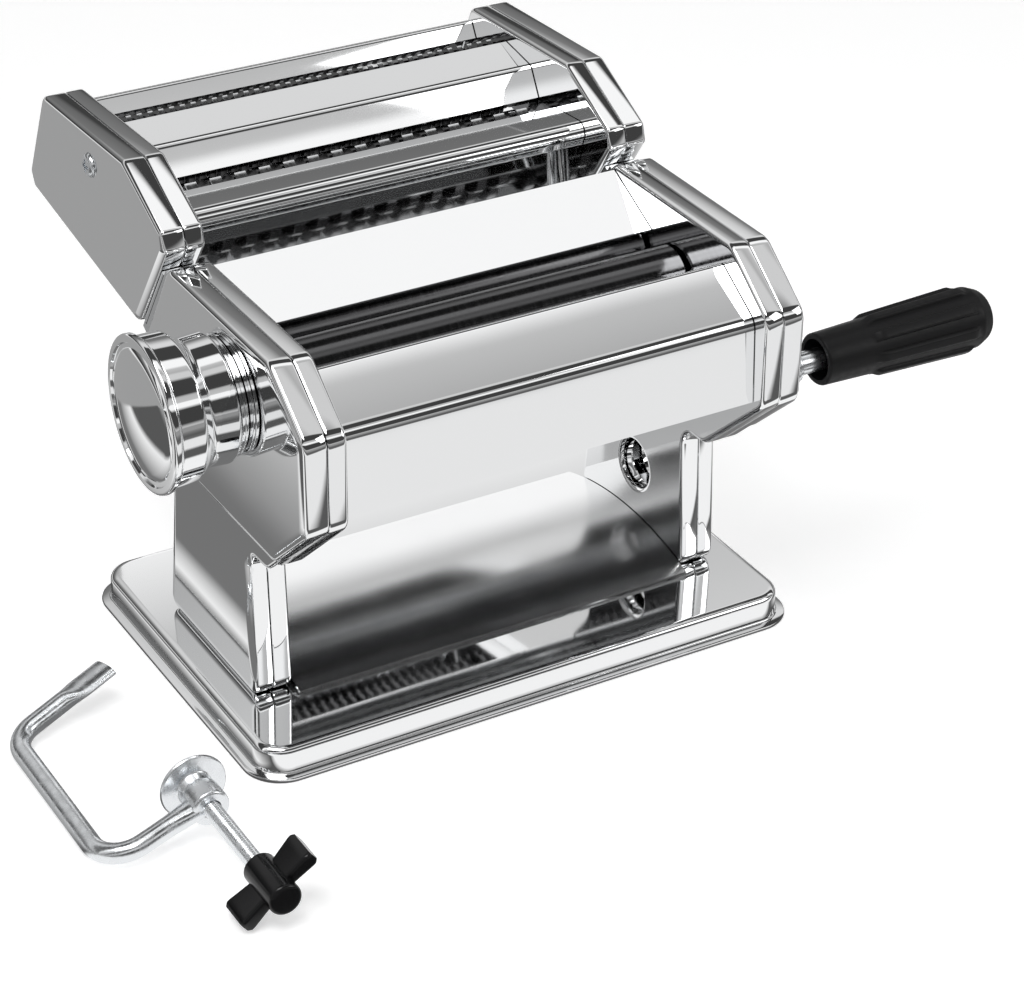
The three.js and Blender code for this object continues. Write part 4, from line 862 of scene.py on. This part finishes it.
def head_screw_piece():
    """A pan head screw with a cross recess."""
    seat = SIDE.face + SCREW.lift
    inner_end = seat - SCREW.depth
    shank = SCREW.shank
    profile = [(inner_end, 0), (inner_end, shank), (seat, shank), (seat, SCREW.radius)]
    for angle in SCREW.arc:
        radius = SCREW.radius * math.cos(angle) ** SCREW.roundness
        profile.append((seat + SCREW.dome * math.sin(angle), radius))
    profile.append((seat + SCREW.top, 0))
    screw = Shape().turn(profile, along_x(*HEAD.screw_at, -1), SIDES.pin)
    obj = screw.object("screw", ZINC, "cutter_head", "head_screw", "zinc")
    cross = Shape()
    floor_at, top = -(seat + SCREW.cross_floor), -(seat + SCREW.cross_top)
    for wide, tall in (SCREW.cross, SCREW.cross[::-1]):
        bar = box((-wide, -tall), (wide, tall), SCREW.cross_soft)
        ring = [Vector(HEAD.screw_at) + p for p in outline(bar)]
        cross.loft([flat_x(ring, x) for x in (floor_at, top)])
    carve(obj, cross.object("cross_tool", ZINC, "cutter_head"))


def carve(obj, tool):
    """Cuts tool out of obj and removes the tool."""
    cut = obj.modifiers.new("cut", "BOOLEAN")
    cut.object = tool
    cut.solver = "EXACT"
    cut.use_self = True
    graph = bpy.context.evaluated_depsgraph_get()
    mesh = bpy.data.meshes.new_from_object(obj.evaluated_get(graph))
    obj.modifiers.clear()
    obj.data = mesh
    bpy.data.objects.remove(tool)
    finish_piece(obj, obj.data.materials[0])


# The clamp, which lies on its spine and on the edge of its pad
clamp_tilt = math.asin((PAD.radius - ROD.radius) / CLAMP.reach)


def lay(away, y, above):
    """From the clamp's own plane, away from its spine and above it, to the machine's frame."""
    x = away * math.cos(clamp_tilt) - above * math.sin(clamp_tilt)
    z = away * math.sin(clamp_tilt) + above * math.cos(clamp_tilt)
    return (CLAMP.spine + x, y, ROD.radius + z)


def on_screw(along, a, b):
    return lay(CLAMP.reach + a, along, b)


def clamp_rod():
    """A bent rod, flattened at its tip and widened into its boss."""
    upper, lower = (0, CLAMP.upper, CLAMP.bend), (0, CLAMP.lower, CLAMP.bend)
    line = fillet([(*CLAMP.tip, 0), upper, lower, (CLAMP.reach, BOSS.at, 0)])
    path = resampled(line, CLAMP.step) + [line[-1]]
    rings = []
    travelled = 0
    for i, p in enumerate(path):
        travelled += (p - path[i - 1]).length if i else 0
        left = (path[-1] - p).length
        along = heading(path, i)
        flat = 1 - held((travelled - ROD.flat) / ROD.flat_fade)
        flat = flat * flat * (3 - 2 * flat)
        near = 1 - held((left - ROD.neck) / ROD.neck_fade)
        wide = ROD.radius + ROD.flat_wider * flat + ROD.neck_wider * near
        thick = ROD.radius - ROD.flat_thinner * flat
        ring = []
        for a, b in circle(1, SIDES.rod):
            across = wide * a
            ring.append(lay(p.x - along.y * across, p.y + along.x * across, thick * b))
        rings.append(ring)
    rod = Shape().loft(rings)
    bore = SPINDLE.radius + GAP
    front, back = BOSS.at - BOSS.half, BOSS.at + BOSS.half
    boss = fillet([
        (front, bore, 0), (front, BOSS.radius, BOSS.soft), (back, BOSS.radius, BOSS.soft), (back, bore, 0),
    ])
    rod.turn(boss, on_screw, SIDES.hub, closed=True)
    rod.object("clamp_rod", ZINC, "frame", "clamp_frame", "zinc")


def clamp_pad():
    """A round pad, dished in front, with the hub that turns on the screw."""
    back = PAD.face - PAD.thickness
    hub_end = back - PAD.hub_length
    bore = SPINDLE.radius + GAP
    (dish, dish_radius), (side, side_radius), (flare_at, flare) = PAD.dish, PAD.dish_side, PAD.hub_flare
    profile = fillet([
        (PAD.face - dish, 0, 0), (PAD.face - dish, dish_radius, PAD.dish_soft),
        (PAD.face - side, side_radius, PAD.dish_soft), (PAD.face, PAD.radius - PAD.rim_in, PAD.rim_soft),
        (PAD.face - PAD.rim_drop, PAD.radius, PAD.back_soft),
        (back, PAD.radius - PAD.back_in, PAD.back_soft), (back - flare_at, PAD.hub + flare, PAD.dish_soft),
        (hub_end, PAD.hub, PAD.hub_soft), (hub_end, bore, 0), (back, bore, 0), (back, 0, 0),
    ])
    Shape().turn(profile, on_screw, SIDES.pad).object("pad", ZINC, "clamp_jaw", "clamp_pad", "zinc")


def spindle_piece():
    """The clamp's screw, with its thread as a rising groove."""
    tip = PAD.face - PAD.thickness - GAP
    end = SPINDLE.end - WINGS.hub
    per_turn = 6
    fade_rows = 4
    rows = int((tip - end) / SPINDLE.pitch * per_turn)
    rings = []
    for i in range(rows + 1):
        y = tip - (tip - end) * i / rows
        fade = min(1.0, i / fade_rows, (rows - i) / fade_rows)
        ring = []
        for k, (a, b) in enumerate(circle(1, SIDES.spindle)):
            phase = (i / per_turn + k / SIDES.spindle) % 1
            radius = SPINDLE.radius - SPINDLE.thread * abs(2 * phase - 1) * fade
            ring.append(on_screw(y, radius * a, radius * b))
        rings.append(ring)
    shape = Shape().loft(rings)
    shape.object("spindle", ZINC, "clamp_spindle", "clamp_screw", "zinc", sharp=60)


def wing_knob():
    """A black plastic wing knob: a hub and a rounded bar across it, thicker towards its ends."""
    bore = SPINDLE.radius + GAP
    bore_end = SPINDLE.end - WINGS.hub
    hub = fillet([
        (WINGS.end, 0, 0), (WINGS.end, WINGS.hub, WINGS.end_soft), (SPINDLE.end, WINGS.hub, WINGS.hub_soft),
        (SPINDLE.end, bore, 0), (bore_end, bore, 0), (bore_end, 0, 0),
    ])
    shape = Shape().turn(hub, on_screw, SIDES.hub)
    angle = math.radians(WINGS.angle) - clamp_tilt
    across = Vector((math.cos(angle), math.sin(angle)))
    flat = Vector((-across.y, across.x))
    steps = len(WINGS.tall_shares) - 1
    for way in (-1, 1):
        rings = []
        for k, tall_share in enumerate(WINGS.tall_shares):
            share = k / steps
            blunt = WINGS.blunt if k == steps else 0
            tall = WINGS.half * (WINGS.root_share + (1 - WINGS.root_share) * share) * tall_share
            front = WINGS.front - WINGS.front_narrow * (1 - share) - blunt
            back = WINGS.back + WINGS.back_narrow * (1 - share) + blunt
            section = outline(box((back, -tall), (front, tall), WINGS.soft))
            middle = across * (WINGS.start + (WINGS.span - WINGS.start) * share) * way
            rings.append([on_screw(p.x, *(middle + flat * p.y)) for p in section])
        shape.loft(rings)
    shape.object("wings", GLOSS, "clamp_spindle", "clamp_knob", "gloss_plastic", sharp=50)


# CAD pieces that stay as they are get their finish
FINISHES = {
    "steel": STEEL, "zinc": ZINC, "bush": BRASS, "nylon": NYLON, "chrome": CHROME,
    "black_plastic": PLASTIC, "gloss_plastic": GLOSS,
}


def finish_kept_nodes():
    slots = {part["node"]: part["material_slot"] for part in frame["record"]["subparts"]}
    for name, obj in frame["nodes"].items():
        obj.data.materials.clear()
        obj.data.materials.append(FINISHES[slots[name]])


# Camera, light and floor
VIEW = Sizes(
    azimuth=math.radians(-30.39), elevation=math.radians(30.42), roll=math.radians(0.68),
    at=(-434.8, -788.7, 582.3), focal_pixels=3036.98, sensor=36, far=20,
)
PHOTO = Sizes(width=1024, height=997, axis_y=473.8)
# Lamps, in metres and watts
KEY = Sizes(at=(-0.5, -0.3, 1.2), target=(0, 0, 0.05), size=(0.9, 0.5), power=6)
FILL = Sizes(at=(0.9, -0.8, 0.7), target=(0, 0, 0.08), size=(0.6, 0.6), power=2)
# Brightness of the studio's long strips, in degrees from the horizon in front over the top
STUDIO = [
    (0, 0.5), (4, 0.05), (24, 0.05), (28, 1.0), (33.8, 1.0), (35.2, 0.55), (42, 0.5), (45, 0.05),
    (66, 0.05), (70, 0.65), (77, 0.65), (80, 0.45), (86, 0.55), (89, 1.0), (101, 1.0), (104, 0.05),
    (128, 0.05), (131, 0.73), (138, 0.73), (142, 0.62), (147, 0.4), (152, 0.2), (162, 0.14), (166, 0.05),
    (174, 0.05), (177, 0.9), (180, 0.9),
]
FLOOR = Sizes(half=4.0, color=(0.93, 0.93, 0.93), glow=0.5)
# Painted shadow and pools of light on the floor, as metal sees it, by distance in metres from the machine's
# middle
FLOOR_FRONT = [
    (0.0, 0.1), (0.0712, 0.1), (0.0735, 0.95), (0.135, 0.95), (0.145, 0.1), (0.2, 0.1), (0.225, 0.84),
    (0.355, 0.84), (0.39, 0.15), (0.5, 0.1), (1.0, 0.3),
]
FLOOR_SIDE = [
    (0.0, 0.08), (0.1055, 0.08), (0.107, 0.9), (0.1125, 0.9), (0.1145, 0.18), (0.15, 0.18), (0.16, 0.3),
    (0.218, 0.78), (0.235, 0.9), (0.26, 0.1), (0.5, 0.1), (1.0, 0.3),
]
# One painted level behind the machine, and where it takes over
FLOOR_BACK = 0.35
FLOOR_TURN = (0.205, 0.215)
# A card behind the machine that only metal sees
CARD = Sizes(back=0.2, left=-0.04, right=0.32, foot=0.001, height=0.15)
CARD_LEVELS = [(0.0, 1.0), (0.09, 1.0), (0.15, 0.55)]


def ramp(made, value, stops, high):
    """A grey level that follows (value, level) stops from zero to high."""
    levels = node(made, "ShaderNodeValToRGB", rescale(made, value, (0, high)))
    elements = levels.color_ramp.elements
    while len(elements) < len(stops):
        elements.new(0.5)
    for element, (place, level) in zip(elements, stops):
        element.position = place / high
        element.color = (level, level, level, 1)
    return levels.outputs["Color"]


def blend(made, factor):
    """A mix of two colours by a factor."""
    return node(made, "ShaderNodeMix", factor, data_type="RGBA")


def camera():
    data = bpy.data.cameras.new("camera")
    data.sensor_width = VIEW.sensor
    data.lens = VIEW.sensor * VIEW.focal_pixels / PHOTO.width
    data.shift_y = (PHOTO.axis_y - PHOTO.height / 2) / PHOTO.width
    data.clip_end = VIEW.far
    cam = linked_object("camera", data)
    sine, cosine = math.sin(VIEW.azimuth), math.cos(VIEW.azimuth)
    level = math.cos(VIEW.elevation)
    right = Vector((cosine, sine, 0))
    back = Vector((sine * level, -cosine * level, math.sin(VIEW.elevation)))
    up = back.cross(right)
    rolled_right = right * math.cos(VIEW.roll) + up * math.sin(VIEW.roll)
    rolled_up = up * math.cos(VIEW.roll) - right * math.sin(VIEW.roll)
    axes = Matrix((rolled_right, rolled_up, back)).transposed().to_4x4()
    cam.matrix_world = Matrix.Translation(SHIFT + Vector(VIEW.at) * MM) @ axes
    bpy.context.scene.camera = cam


def world():
    """White to the camera; to everything else a studio of long strips along the machine, pale and dark."""
    made = bpy.data.worlds.new("studio")
    bpy.context.scene.world = made
    made.use_nodes = True
    made.node_tree.nodes.clear()
    coords = node(made, "ShaderNodeTexCoord")
    parts = node(made, "ShaderNodeSeparateXYZ", coords.outputs["Generated"])
    forwards = node(made, "ShaderNodeMath", parts.outputs["Y"], operation="MULTIPLY")
    forwards.inputs[1].default_value = -1
    angle = node(made, "ShaderNodeMath", parts.outputs["Z"], forwards, operation="ARCTAN2")
    stops = [(math.radians(degrees), level) for degrees, level in STUDIO]
    studio = node(made, "ShaderNodeBackground", ramp(made, angle, stops, math.pi))
    white = node(made, "ShaderNodeBackground", Color=(1, 1, 1, 1))
    seen = node(made, "ShaderNodeLightPath").outputs["Is Camera Ray"]
    mix = node(made, "ShaderNodeMixShader", seen, studio, white)
    node(made, "ShaderNodeOutputWorld", mix)


def area_light(name, lamp):
    data = bpy.data.lights.new(name, "AREA")
    data.shape = "RECTANGLE"
    data.size, data.size_y = lamp.size
    data.energy = lamp.power
    light = linked_object(name, data)
    light.location = lamp.at
    light.rotation_euler = (Vector(lamp.target) - Vector(lamp.at)).to_track_quat("-Z", "Y").to_euler()


def plane(name, corners, made):
    mesh = bpy.data.meshes.new(name)
    mesh.from_pydata(corners, [], [(0, 1, 2, 3)])
    mesh.materials.append(made)
    return linked_object(name, mesh)


def painted_floor_light(made):
    """The painted shadow and light that metal sees in the floor: by stops in front and beside, and one
    level behind.
    """
    place = node(made, "ShaderNodeTexCoord")
    away = node(made, "ShaderNodeVectorMath", place.outputs["Object"], operation="SUBTRACT")
    away.inputs[1].default_value = (SHIFT.x, SHIFT.y, 0)
    size = node(made, "ShaderNodeVectorMath", away, operation="ABSOLUTE")
    reach = node(made, "ShaderNodeSeparateXYZ", size)
    depth = node(made, "ShaderNodeSeparateXYZ", away).outputs["Y"]
    links = made.node_tree.links
    corner = (-BASE.half_depth * MM, -(BASE.half_depth - BASE.corner) * MM)
    near = blend(made, rescale(made, depth, corner))
    links.new(ramp(made, reach.outputs["Y"], FLOOR_FRONT, 1), near.inputs["A"])
    links.new(ramp(made, reach.outputs["X"], FLOOR_SIDE, 1), near.inputs["B"])
    levels = blend(made, rescale(made, depth, FLOOR_TURN))
    links.new(near.outputs["Result"], levels.inputs["A"])
    levels.inputs["B"].default_value = (FLOOR_BACK, FLOOR_BACK, FLOOR_BACK, 1)
    return levels.outputs["Result"]


def floor():
    """A pale floor, nearly white to the camera, which keeps the shadow; metal sees in it painted shadow and
    pools of light that glow.
    """
    made = material("floor", FLOOR.color, 0.0, rough=(0.1, 0.16), grain=(6,))
    nodes = made.node_tree.nodes
    painted_pools = node(made, "ShaderNodeEmission", painted_floor_light(made))
    glow = node(made, "ShaderNodeEmission", Strength=FLOOR.glow)
    pale = node(made, "ShaderNodeAddShader", nodes[SHADER], glow)
    mirrored = node(made, "ShaderNodeLightPath").outputs["Is Glossy Ray"]
    mix = node(made, "ShaderNodeMixShader", mirrored, pale, painted_pools)
    made.node_tree.links.new(mix.outputs[0], nodes["Material Output"].inputs["Surface"])
    half = FLOOR.half
    obj = plane("floor", [(-half, -half, 0), (half, -half, 0), (half, half, 0), (-half, half, 0)], made)


def card():
    """A pale card low behind the machine, in which the tray finds its light."""
    made = bpy.data.materials.new("card")
    made.use_nodes = True
    made.node_tree.nodes.clear()
    place = node(made, "ShaderNodeTexCoord")
    parts = node(made, "ShaderNodeSeparateXYZ", place.outputs["Object"])
    glow = node(made, "ShaderNodeEmission", ramp(made, parts.outputs["Z"], CARD_LEVELS, CARD.height))
    node(made, "ShaderNodeOutputMaterial", glow)
    left, right = SHIFT.x + CARD.left, SHIFT.x + CARD.right
    back = SHIFT.y + CARD.back
    low, high = CARD.foot, CARD.height
    corners = [(left, back, low), (right, back, low), (right, back, high), (left, back, high)]
    obj = plane("card", corners, made)
    obj.visible_camera = False
    obj.visible_diffuse = False
    obj.visible_shadow = False


camera()
finish_kept_nodes()
base_piece()
side_plates()
casing_sheets()
tray_sheet()
rollers()
cutters()
knob_barrel()
knob_cap()
dial_ring()
crank_arm()
crank_pin()
grip_piece()
head_sides()
head_sheets()
head_screw_piece()
clamp_rod()
clamp_pad()
spindle_piece()
wing_knob()
world()
area_light("key", KEY)
area_light("fill", FILL)
floor()
card()
bpy.context.scene.view_settings.view_transform = "Standard"
